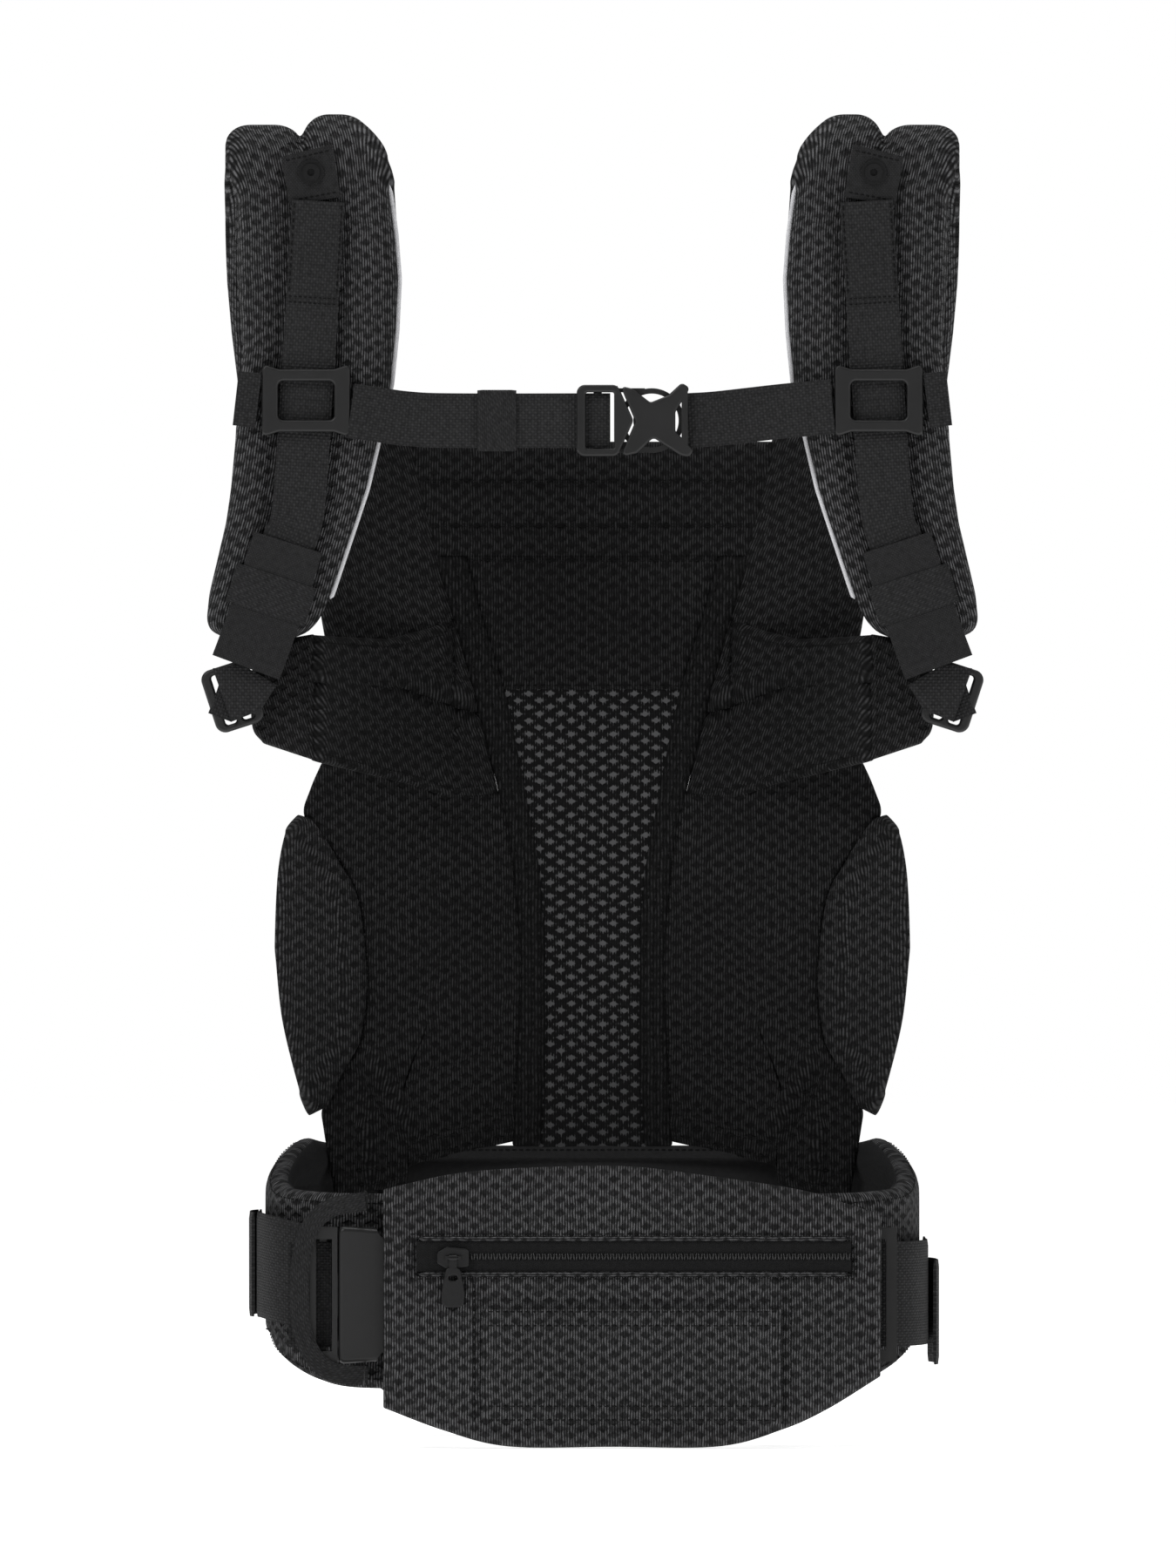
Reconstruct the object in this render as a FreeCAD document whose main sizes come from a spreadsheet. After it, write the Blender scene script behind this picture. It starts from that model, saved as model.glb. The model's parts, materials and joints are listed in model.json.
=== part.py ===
"""Soft baby carrier: padded shoulder straps, body panel, waist belt with pouch, and its buckles.

Frame: +Z up, -Y towards the side that the chest strap and the pouch are on, +X to the right.
The origin is the bottom centre of the whole carrier. All sizes are in millimetres.
"""
import FreeCAD, Part

import math
import os

from FreeCAD import Vector

SIZES = [
    # Whole carrier
    ("strap_top", 634.5),
    ("panel_far", 85.0),
    ("panel_radius", 420.0),
    ("panel_cloth", 6.0),
    ("seam_gap", 0.5),
    # Webbing and straps
    ("webbing_width", 25.0),
    ("webbing_thick", 1.6),
    ("strap_front", 57.0),
    ("strap_thick", 22.0),
    ("strap_fold", 30.0),
    ("strap_lean", 31.0),
    ("strap_root", "=strap_top - 151.5"),
    ("strap_foot", 388.5),
    ("strap_top_centre", 134.6),
    ("strap_top_half", 40.0),
    ("strap_chest_centre", 131.7),
    ("strap_chest_half", 38.3),
    ("strap_low_centre", 144.0),
    ("strap_low_half", 31.0),
    ("strap_foot_centre", 158.0),
    ("strap_foot_half", 27.0),
    ("cover_thick", 1.5),
    ("foam_gap", 0.5),
    ("webbing_off_strap", 3.4),
    ("piping_width", 2.6),
    # Chest strap
    ("chest_level", 498.0),
    ("buckle_level", 488.5),
    ("chest_slider_x", 136.3),
    ("chest_slider_wide", 42.0),
    ("chest_slider_tall", 35.0),
    ("chest_slider_thick", 3.5),
    ("chest_window_tall", 18.6),
    ("rail_play", 3.2),
    ("keeper_wide", 18.6),
    ("hook_ring", 15.4),
    # Panel
    ("headrest_top", 479.0),
    ("headrest_fold", 424.0),
    ("headrest_top_half", 88.0),
    ("headrest_low_half", 74.8),
    ("mesh_top", 360.0),
    ("panel_bottom", 139.5),
    ("thigh_pad_thick", 14.0),
    ("wing_thick", 7.0),
    ("wing_end_near", 45.0),
    ("wing_end_thick", 9.0),
    ("lock_wide", 24.0),
    ("lock_tall", 31.0),
    ("lock_thick", 4.5),
    ("lock_lean", 18.0),
    # Belt
    ("belt_half", 157.0),
    ("belt_far", "=panel_far + 15"),
    ("belt_thick", 14.0),
    ("belt_near", 51.0),
    ("belt_back_half", 105.0),
    ("waist_webbing", 50.0),
    ("waist_level", 72.2),
    ("waist_webbing_near", 56.6),
    ("housing_left", 121.0),
    ("housing_wide", 56.0),
    ("housing_tall", "=waist_webbing + 15.6"),
    ("housing_thick", 12.5),
    ("housing_near", 71.0),
    ("housing_wall", 2.2),
    ("plug_play", 0.5),
    ("waist_slider_right", "=belt_half - 12"),
    ("waist_slider_wide", 35.0),
    # Pouch
    ("pouch_near", 94.0),
    ("pouch_deep", 21.0),
    ("pouch_wall", 2.0),
    ("zip_left", 84.7),
    ("zip_right", 124.0),
    ("zip_level", 91.3),
    ("zip_tall", 15.8),
    ("coil_tall", 4.0),
    ("snap_hole", 1.75),
    ("snap_depth", 2.4),
]

doc = FreeCAD.newDocument("SoftBabyCarrier")
sheet = doc.addObject("Spreadsheet::Sheet", "Sizes")
for row, (alias, value) in enumerate(SIZES, start=1):
    sheet.set("A%d" % row, alias.replace("_", " "))
    sheet.set("B%d" % row, str(value))
    sheet.setAlias("B%d" % row, alias)
doc.recompute()

nodes = {}


def size(name):
    """The value of one cell of the sheet."""
    return float(sheet.get(name))


def keep(label, item):
    """Give an object its label and list it as a sub-part."""
    item.Label = label
    nodes[label] = item
    return item


def feature(label, shape, place=FreeCAD.Placement()):
    """A sub-part whose shape has been made with Part's own functions, set at a place."""
    item = doc.addObject("Part::Feature", label)
    item.Shape = shape
    item.Placement = place
    return keep(label, item)


def mirrored(label, source):
    """The right-hand copy of a left-hand sub-part."""
    item = doc.addObject("Part::Mirroring", label)
    item.Source = source
    item.Base = Vector(0, 0, 0)
    item.Normal = Vector(1, 0, 0)
    return keep(label, item)


def pair(name, left_item):
    """Name a left-hand sub-part and add its right-hand copy."""
    keep(name + "_left", left_item)
    mirrored(name + "_right", left_item)


# ---------------------------------------------------------------- outlines and simple solids

def edges_xz(points, y_place):
    """Straight edges through points given as (x, z)."""
    spots = [Vector(x, y_place, z) for x, z in points]
    return [Part.makeLine(a, b) for a, b in zip(spots, spots[1:])]


def spline_xz(points, y_place):
    """One smooth edge through points given as (x, z)."""
    curve = Part.BSplineCurve()
    curve.interpolate([Vector(x, y_place, z) for x, z in points])
    return curve.toShape()


def prism_xz(points, near, far):
    """A flat outline of (x, z) points, solid from y = near to y = far."""
    wire = Part.Wire(edges_xz(points + points[:1], near))
    return Part.Face(wire).extrude(Vector(0, far - near, 0))


def prism_yz(points, left, right):
    """A flat outline of (y, z) points, solid from x = left to x = right."""
    spots = [Vector(left, y, z) for y, z in points + points[:1]]
    return Part.Face(Part.makePolygon(spots)).extrude(Vector(right - left, 0, 0))


def box(left, right, near, far, low, high):
    """A box between three pairs of places."""
    return Part.makeBox(right - left, far - near, high - low, Vector(left, near, low))


def offset_path(points, half):
    """The two sides of a strip of even width about a path."""
    plus, minus = [], []
    last = len(points) - 1
    for index, (px, py) in enumerate(points):
        ax, ay = points[max(index - 1, 0)]
        bx, by = points[min(index + 1, last)]
        length = math.hypot(bx - ax, by - ay)
        nx, ny = -(by - ay) / length, (bx - ax) / length
        plus.append((px + nx * half, py + ny * half))
        minus.append((px - nx * half, py - ny * half))
    return plus, minus


def ribbon_xz(points, width, near, far):
    """A flat strip seen from the front, following (x, z) points."""
    plus, minus = offset_path(points, width / 2)
    return prism_xz(plus + minus[::-1], near, far)


def strip_plan(points, thick, low, high):
    """A standing strip of even thickness that follows a smooth (x, y) path."""
    plus, minus = offset_path(points, thick / 2)
    sides = []
    for line in (plus, minus):
        curve = Part.BSplineCurve()
        curve.interpolate([Vector(x, y, low) for x, y in line])
        sides.append(curve)
    ends = [Part.makeLine(Vector(plus[i][0], plus[i][1], low), Vector(minus[i][0], minus[i][1], low))
            for i in (0, -1)]
    wire = Part.Wire(Part.__sortEdges__([sides[0].toShape(), ends[1], sides[1].toShape(), ends[0]]))
    return Part.Face(wire).extrude(Vector(0, 0, high - low))


def panel_y(x_place):
    """The depth of the middle of the curved body panel at a place across it."""
    radius = size("panel_radius")
    return size("panel_far") - radius + math.sqrt(radius ** 2 - x_place ** 2)


def panel_piece(points, near, far):
    """A piece of the curved panel: its (x, z) outline between two offsets from the middle surface."""
    radius = size("panel_radius")
    centre = Vector(0, size("panel_far") - radius, 0)
    outer = Part.makeCylinder(radius + far, 700, centre)
    inner = Part.makeCylinder(radius - near, 700, centre)
    return prism_xz(points, 0, size("belt_far") + 20).common(outer.cut(inner))


def rounded_loop(points, radius):
    """Lines and tangent arcs round a closed outline, as sketch geometry."""
    parts = []
    count = len(points)
    corners = []
    for index in range(count):
        here = Vector(points[index][0], points[index][1], 0)
        before = Vector(points[index - 1][0], points[index - 1][1], 0)
        after = Vector(points[(index + 1) % count][0], points[(index + 1) % count][1], 0)
        to_before, to_after = before - here, after - here
        half = to_before.getAngle(to_after) / 2
        room = 0.45 * min(to_before.Length, to_after.Length)
        reach = min(radius / math.tan(half), room)
        fit = reach * math.tan(half)
        start = here + to_before.normalize() * reach
        end = here + to_after.normalize() * reach
        inward = (to_before + to_after).normalize()
        middle = here + inward * (math.hypot(reach, fit) - fit)
        corners.append((start, middle, end))
    for index, (start, middle, end) in enumerate(corners):
        parts.append(Part.Arc(start, middle, end))
        following = corners[(index + 1) % count][0]
        if (following - end).Length > 1e-4:
            parts.append(Part.LineSegment(end, following))
    return parts


def rectangle(wide, tall, x_mid=0.0, z_mid=0.0):
    """The corners of a rectangle about a middle."""
    return [(x_mid - wide / 2, z_mid - tall / 2), (x_mid + wide / 2, z_mid - tall / 2),
            (x_mid + wide / 2, z_mid + tall / 2), (x_mid - wide / 2, z_mid + tall / 2)]


def plate(name, loops, thick_alias, place, turn=0.0, edge=0.8):
    """A flat moulded plate: outline loops of (points, corner radius), padded towards -Y.

    The first loop is the outside and the rest are holes. The near edges are rounded.
    """
    body = doc.addObject("PartDesign::Body", name)
    plane = [item for item in body.Origin.OriginFeatures if item.Role == "XZ_Plane"][0]
    sketch = body.newObject("Sketcher::SketchObject", name + "_outline")
    sketch.AttachmentSupport = [(plane, "")]
    sketch.MapMode = "FlatFace"
    for points, radius in loops:
        sketch.addGeometry(rounded_loop(points, radius), False)
    pad = body.newObject("PartDesign::Pad", name + "_pad")
    pad.Profile = sketch
    pad.setExpression("Length", "Sizes." + thick_alias)
    doc.recompute()
    if edge > 0:
        near = min(vertex.Y for vertex in pad.Shape.Vertexes)
        names = ["Edge%d" % (number + 1) for number, item in enumerate(pad.Shape.Edges)
                 if all(abs(vertex.Y - near) < 1e-6 for vertex in item.Vertexes)]
        fillet = body.newObject("PartDesign::Fillet", name + "_fillet")
        fillet.Base = (pad, names)
        fillet.Radius = edge
        doc.recompute()
    body.Placement = FreeCAD.Placement(Vector(*place), FreeCAD.Rotation(Vector(0, 1, 0), turn))
    return body


def bar(name, wide, deep, tall, corner):
    """A box-shaped bar or wall from its left, near, low corner."""
    item = doc.addObject("Part::Box", name)
    item.Length = wide
    item.Width = deep
    item.Height = tall
    item.Placement = FreeCAD.Placement(Vector(*corner), FreeCAD.Rotation())
    return item


def pin(name, radius, length, place, axis):
    """A round pin or boss from one end along an axis."""
    item = doc.addObject("Part::Cylinder", name)
    item.Radius = radius
    item.Height = length
    item.Placement = FreeCAD.Placement(Vector(*place), FreeCAD.Rotation(Vector(0, 0, 1), Vector(*axis)))
    return item


def fuse(name, items):
    """Join several objects into one moulding."""
    item = doc.addObject("Part::MultiFuse", name)
    item.Shapes = items
    item.Refine = True
    return item


def cut(name, base, tool):
    """Take one object away from another."""
    item = doc.addObject("Part::Cut", name)
    item.Base = base
    item.Tool = tool
    return item


# ---------------------------------------------------------------- body panel

def rail_outer():
    """Outer seam of the left rail from the headrest fold down to the belt, as (x, z)."""
    low = size("headrest_low_half")
    fold = size("headrest_fold")
    bottom = size("panel_bottom")
    return [(-low, fold), (-low + 8.0, fold - 27.0), (-low + 15.8, fold - 56.0), (-low + 23.8, fold - 87.0),
            (-low + 30.4, fold - 113.0), (-low + 37.0, fold - 147.0), (-low + 40.4, fold - 182.0),
            (-low + 40.8, fold - 209.0), (-low + 39.1, fold - 244.0), (-low + 37.3, bottom)]


def rail_inner():
    """Inner seam of the left rail, beside the mesh, as (x, z)."""
    low = size("headrest_low_half")
    fold = size("headrest_fold")
    bottom = size("panel_bottom")
    return [(-low + 12.8, fold), (-low + 19.8, fold - 27.0), (-low + 28.8, fold - 56.0),
            (-low + 34.8, fold - 80.0), (-low + 43.8, fold - 127.0), (-low + 49.1, fold - 161.0),
            (-low + 51.1, fold - 223.0), (-low + 49.9, fold - 257.0), (-low + 48.8, bottom)]


def shifted(points, distance):
    """The same points moved across."""
    return [(x + distance, z) for x, z in points]


def clipped(points, low, high):
    """A seam between two heights, with its ends worked out on those heights."""
    result = []
    for (ax, az), (bx, bz) in zip(points, points[1:]):
        for level in (high, low):
            if (az - level) * (bz - level) < 0:
                share = (level - az) / (bz - az)
                result.append((ax + share * (bx - ax), level))
        if low <= bz <= high:
            result.append((bx, bz))
    if low <= points[0][1] <= high:
        result.insert(0, points[0])
    return sorted(set(result), key=lambda spot: -spot[1])


def make_panel():
    """The centre of the panel: headrest, upper panel, mesh window, rails and binding."""
    half = size("panel_cloth") / 2
    gap = size("seam_gap")
    fold = size("headrest_fold")
    top = size("headrest_top_half")
    low = size("headrest_low_half")
    head = [(-top, size("headrest_top")), (top, size("headrest_top")), (low, fold + gap), (-low, fold + gap)]
    feature("headrest", panel_piece(head, half, half))
    inner = shifted(rail_inner(), gap)
    upper = clipped(inner, size("mesh_top") + gap, fold - gap)
    feature("upper_panel", panel_piece(upper + [(-x, z) for x, z in reversed(upper)], half, half))
    window = clipped(inner, size("panel_bottom"), size("mesh_top"))
    mesh_half = half / 3
    mesh = panel_piece(window + [(-x, z) for x, z in reversed(window)], mesh_half, mesh_half)
    feature("mesh_window", mesh)
    outline = clipped(rail_outer(), size("panel_bottom"), fold - gap)
    inside = clipped(rail_inner(), size("panel_bottom"), fold - gap)
    pair("rail", feature("rail_left", panel_piece(outline + inside[::-1], half, half)))
    strip_half = 70.0
    level = size("panel_bottom") - gap
    strip = [(-strip_half, level), (strip_half, level), (strip_half, level - 4.6), (-strip_half, level - 4.6)]
    feature("binding_strip", panel_piece(strip, half, half))


def thigh_seam():
    """Inner seam of the left thigh pad from top to bottom, as (x, z)."""
    return [(-138.6, 298.0), (-126.0, 281.0), (-116.0, 264.0), (-111.6, 244.0), (-110.0, 215.0),
            (-113.7, 189.0), (-123.0, 174.0), (-130.0, 158.5)]


def make_side_panels():
    """The seat's side panels and the padded crescents at their outer edges."""
    gap = size("seam_gap")
    half = size("panel_cloth") / 2
    rail = clipped(shifted(rail_outer(), -gap), size("panel_bottom") + 3.5, 304.0)
    hem = [(-70.0, 139.7), (-74.0, 136.0), (-86.0, 133.5), (-90.0, 118.0), (-124.0, 114.0), (-127.0, 126.5),
           (-130.0, 149.0)]
    top = [(-136.0, 311.0), (-130.0, 326.0), (-96.0, 326.0), (-87.0, 318.0), (-80.0, 304.5)]
    panel = rail + hem + thigh_seam()[::-1] + top
    pair("side_panel", feature("side_panel_left", panel_piece(panel, half, half)))
    outer = [(-134.0, 156.5), (-138.6, 170.0), (-146.5, 200.0), (-151.0, 229.0), (-151.5, 240.0),
             (-150.0, 271.0), (-146.0, 291.0), (-140.2, 299.5)]
    pad = shifted(thigh_seam(), -gap) + outer
    thick = size("thigh_pad_thick")
    pair("thigh_pad", feature("thigh_pad_left", panel_piece(pad, thick - half, half)))


def make_yokes():
    """The strap roots between the headrest and the shoulder straps."""
    gap = size("seam_gap")
    half = size("panel_cloth") / 2
    top, low, fold = size("headrest_top_half"), size("headrest_low_half"), size("headrest_fold")
    root = size("strap_root") - gap
    yoke = [(-top - gap, root), (-top - gap, size("headrest_top")), (-low - gap, fold),
            (-low + 8.0 - 2 * gap, fold - 26.0), (-83.0, 392.0), (-90.0, 378.0), (-126.0, 378.0),
            (-128.0, 392.0), (-150.0, root)]
    pair("yoke", feature("yoke_left", panel_piece(yoke, half, half)))


def make_wings():
    """The side wings that come forward from the rails, and their padded ends."""
    gap = size("seam_gap")
    near = -size("wing_end_near") + size("wing_end_thick") / 2
    rail = clipped(shifted(rail_outer(), -gap), 311.0, 395.5)
    start = -size("headrest_low_half") + 30.0
    path = [(start, panel_y(start)), (-67.0, 79.0), (-90.0, 62.0), (-110.0, 28.0), (-122.0, -8.0),
            (-130.0, near + 3.0), (-134.2, near)]
    outline = rail + [(-66.8, 306.3), (-85.5, 313.3), (-106.7, 318.7), (-134.2, 326.5), (-134.2, 386.5),
                      (-117.0, 385.0), (-98.8, 384.0), (-82.6, 388.0)]
    wing = strip_plan(path, size("wing_thick"), 300.0, 400.0).common(prism_xz(outline, -100, 100))
    pair("wing", feature("wing_left", wing))
    end = [(-134.2 - gap, 386.5), (-162.0, 382.0), (-162.7, 345.0), (-157.0, 334.5), (-134.2 - gap, 327.0)]
    front = -size("wing_end_near")
    pair("wing_end", feature("wing_end_left", prism_xz(end, front, front + size("wing_end_thick"))))


# ---------------------------------------------------------------- shoulder straps

def strap_stations(inset):
    """Centre, half width and height of the left strap from the foot up."""
    names = [("foot", size("strap_foot") + inset), ("low", 440.0), ("chest", 506.0), ("top", 590.0)]
    rows = [(-size("strap_%s_centre" % name), size("strap_%s_half" % name) - inset, level)
            for name, level in names]
    centre, half, _ = rows[-1]
    return rows + [(centre, half, size("strap_top") + 5.0)]


def strap_solid(inset):
    """The left shoulder strap as a folded pad, shrunk all over by an inset."""
    fold, thick = size("strap_fold"), size("strap_thick")
    lean = math.radians(size("strap_lean"))
    centre_y, centre_z = -size("strap_front") + fold, size("strap_top") - fold
    foot, root = size("strap_foot") + inset, size("strap_root") + inset

    def run_spot(radius, level=None):
        """A place on the slanting back run, at the tangent point or at a level."""
        y_place = centre_y + radius * math.cos(lean)
        z_place = centre_z + radius * math.sin(lean)
        if level is not None:
            y_place += (z_place - level) * math.tan(lean)
            z_place = level
        return Vector(-200, y_place, z_place)

    outer, inner = fold - inset, fold - thick + inset
    top = (math.pi + lean) / 2

    def arc(radius):
        """The fold over the top at one radius."""
        start = Vector(-200, centre_y - radius, centre_z)
        middle = Vector(-200, centre_y + radius * math.cos(top), centre_z + radius * math.sin(top))
        return Part.Arc(start, middle, run_spot(radius)).toShape()

    edges = [Part.makeLine(Vector(-200, centre_y - outer, foot), Vector(-200, centre_y - outer, centre_z)),
             arc(outer),
             Part.makeLine(run_spot(outer), run_spot(outer, root)),
             Part.makeLine(run_spot(outer, root), run_spot(inner, root)),
             Part.makeLine(run_spot(inner, root), run_spot(inner)),
             arc(inner),
             Part.makeLine(Vector(-200, centre_y - inner, centre_z), Vector(-200, centre_y - inner, foot)),
             Part.makeLine(Vector(-200, centre_y - inner, foot), Vector(-200, centre_y - outer, foot))]
    profile = Part.Face(Part.Wire(Part.__sortEdges__(edges))).extrude(Vector(140, 0, 0))
    stations = strap_stations(inset)
    left = [(x - half, z) for x, half, z in stations]
    right = [(x + half, z) for x, half, z in stations]
    sides = [spline_xz(left, -150), spline_xz(right, -150)]
    ends = edges_xz([left[0], right[0]], -150) + edges_xz([left[-1], right[-1]], -150)
    outline = Part.Face(Part.Wire(Part.__sortEdges__(sides + ends))).extrude(Vector(0, 300, 0))
    return profile.common(outline)


def make_straps():
    """Padded strap covers with foam inside, and the light piping at the inner edges."""
    cover = size("cover_thick")
    shell = strap_solid(0.0).cut(strap_solid(cover))
    pair("strap_cover", feature("strap_cover_left", shell))
    pair("strap_foam", feature("strap_foam_left", strap_solid(cover + size("foam_gap"))))
    gap = size("seam_gap")
    wide = size("piping_width")
    middle = -size("strap_front") + size("strap_thick") / 2
    curve = [(x + half + gap + wide / 2, z) for x, half, z in strap_stations(0.0)]
    line = Part.BSplineCurve()
    line.interpolate([Vector(x, z, 0) for x, z in curve])
    first, last = line.FirstParameter, line.LastParameter
    steps = 14
    spots = [line.value(first + (last - first) * (0.05 + 0.84 * step / steps)) for step in range(steps + 1)]
    route = [(spot.x, spot.y) for spot in spots]
    pair("strap_piping", feature("strap_piping_left", ribbon_xz(route, wide, middle - 1.5, middle + 1.5)))


def webbing_line(level):
    """Where the middle of the left shoulder webbing is at a height."""
    lean = 0.0608
    return -size("chest_slider_x") + (level - size("chest_level")) * lean


def make_strap_webbing():
    """Webbing on the straps, its keeper, the wide strap below it, the snap tab and the snap."""
    back = -size("strap_front") - size("webbing_off_strap")
    front = back - size("webbing_thick")
    width = size("webbing_width")
    route = [(webbing_line(590.0), 590.0), (webbing_line(448.0), 448.0), (-145.5, 428.0), (-147.5, 421.5)]
    pair("shoulder_webbing", feature("shoulder_webbing_left", ribbon_xz(route, width, front, back)))
    lower = [(-148.6, 418.5), (-155.0, 399.0), (-165.0, 371.0)]
    pair("lower_strap", feature("lower_strap_left", ribbon_xz(lower, 34.0, front, back)))
    lean = 18.2
    ring = Part.makeBox(40.0, 6.0, 19.0, Vector(-20.0, -3.0, -9.5))
    slot = Part.makeBox(35.6, 3.0, 25.0, Vector(-17.8, -1.5, -12.5))
    middle = Vector(-153.0, (front + back) / 2, 405.5)
    place = FreeCAD.Placement(middle, FreeCAD.Rotation(Vector(0, 1, 0), lean))
    pair("webbing_keeper", feature("webbing_keeper_left", ring.cut(slot), place))
    tab_back = -size("strap_front") - 1.0
    tab_front = tab_back - size("webbing_thick")
    tab = [(-148.2, 614.2), (-124.1, 620.0), (-119.9, 595.0), (-144.0, 590.9)]
    shape = prism_xz(tab, tab_front, tab_back)
    pair("snap_tab", feature("snap_tab_left", shape))
    make_snap(-134.0, 606.7, tab_front)


def make_snap(x_place, z_place, tab_front):
    """A press-stud socket on the tab: a flange, a raised rim and a blind hole."""
    base = tab_front - 0.2
    flange = pin("snap_flange", 6.0, 1.2, (x_place, base, z_place), (0, -1, 0))
    rim = pin("snap_rim", 4.2, 3.0, (x_place, base, z_place), (0, -1, 0))
    solid = fuse("snap_blank", [flange, rim])
    depth = size("snap_depth")
    hole = pin("snap_hole", 1.75, 5.0, (x_place, base - 3.0 + depth, z_place), (0, -1, 0))
    hole.setExpression("Radius", "Sizes.snap_hole")
    pair("snap_socket", cut("snap_socket_left", solid, hole))


def make_ladder_locks():
    """The ladder locks where the strap webbing meets the wing ends."""
    wide, tall = size("lock_wide"), size("lock_tall")
    slot = wide / 2 - 6.5
    loops = [(rectangle(wide, tall), 5.0),
             (rectangle(slot, tall - 6.5, -slot / 2 - 1.6), 1.5),
             (rectangle(slot, tall - 6.5, slot / 2 + 1.6), 1.5)]
    lean = size("lock_lean")
    lock = plate("ladder_lock_left", loops, "lock_thick", (-171.5, -47.5, 357.0), -lean, 1.4)
    pair("ladder_lock", lock)


# ---------------------------------------------------------------- chest strap

def chest_slider(name):
    """A slider: a windowed face with corner flanges, side walls and two bars behind the webbing."""
    wide, tall = size("chest_slider_wide"), size("chest_slider_tall")
    window = size("chest_window_tall")
    inner = size("webbing_width") + 2 * size("rail_play")
    flange, waist = 8.0, 2.6
    outline = [(-wide / 2, -tall / 2), (-wide / 2 + flange, -tall / 2 + waist),
               (wide / 2 - flange, -tall / 2 + waist), (wide / 2, -tall / 2), (wide / 2, tall / 2),
               (wide / 2 - flange, tall / 2 - waist),
               (-wide / 2 + flange, tall / 2 - waist), (-wide / 2, tall / 2)]
    face_back = -size("strap_front") - size("webbing_off_strap") - size("webbing_thick") - 0.9
    place = (-size("chest_slider_x"), face_back, size("chest_level"))
    loops = [(outline, 2.2), (rectangle(26.6, window), 2.5)]
    face = plate(name + "_face", loops, "chest_slider_thick", place, 0.0, 1.2)
    rear = -size("strap_front") - 1.1
    wall = (wide - inner) / 2
    wall_tall = tall - 11.0
    pieces = [face]
    for side in (-1, 1):
        left = place[0] + side * (inner / 2 + wall / 2) - (wall - 1.6) / 2
        corner = (left, face_back - 0.6, place[2] - wall_tall / 2)
        pieces.append(bar("%s_wall%d" % (name, side), wall - 1.6, rear - face_back + 0.6, wall_tall, corner))
        z_low = place[2] + side * (wall_tall / 2 - 2.0) - 2.0
        corner = (place[0] - inner / 2 - 1.5, rear - 1.7, z_low)
        pieces.append(bar("%s_bar%d" % (name, side), inner + 3.0, 1.7, 4.0, corner))
    return fuse(name, pieces)


def chest_depths():
    """Near and far faces of the chest webbing."""
    back = -size("strap_front") - size("webbing_off_strap") - size("webbing_thick") - 2.8
    return back - size("webbing_thick"), back


def make_chest_strap():
    """Chest webbing, keeper and both sliders."""
    pair("chest_slider", chest_slider("chest_slider_left"))
    near, back = chest_depths()
    level, low = size("chest_level"), size("buckle_level")
    width = size("webbing_width") + 1.0
    edge = -size("chest_slider_x") + size("chest_slider_wide") / 2
    route = [(edge + 3.8, level - 3.4), (-104.0, level - 5.5), (-90.0, low + 0.6), (-70.0, low), (8.7, low)]
    main = ribbon_xz(route, width, near, back)
    tail_edge = edge - size("chest_slider_wide")
    tail = ribbon_xz([(tail_edge - 1.6, level), (tail_edge - 12.6, level + 1.2)], width, near, back)
    right_tail = ribbon_xz([(-tail_edge + 1.6, level), (-tail_edge + 12.6, level + 1.2)], width, near, back)
    feature("chest_webbing_left", Part.makeCompound([main, tail, right_tail]))
    right = [(44.8, low), (60.0, low + 1.0), (-edge - 3.6, level - 2.4)]
    feature("chest_webbing_right", ribbon_xz(right, width, near, back))
    keeper_wide = size("keeper_wide")
    middle = (near + back) / 2
    keeper_left = -45.5 - keeper_wide / 2
    ring = box(keeper_left, keeper_left + keeper_wide, middle - 2.4, middle + 2.4, low - 14.6, low + 14.6)
    slot = box(-70.0, -20.0, middle - 1.4, middle + 1.4, low - 13.4, low + 13.4)
    feature("chest_keeper", ring.cut(slot))


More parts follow.
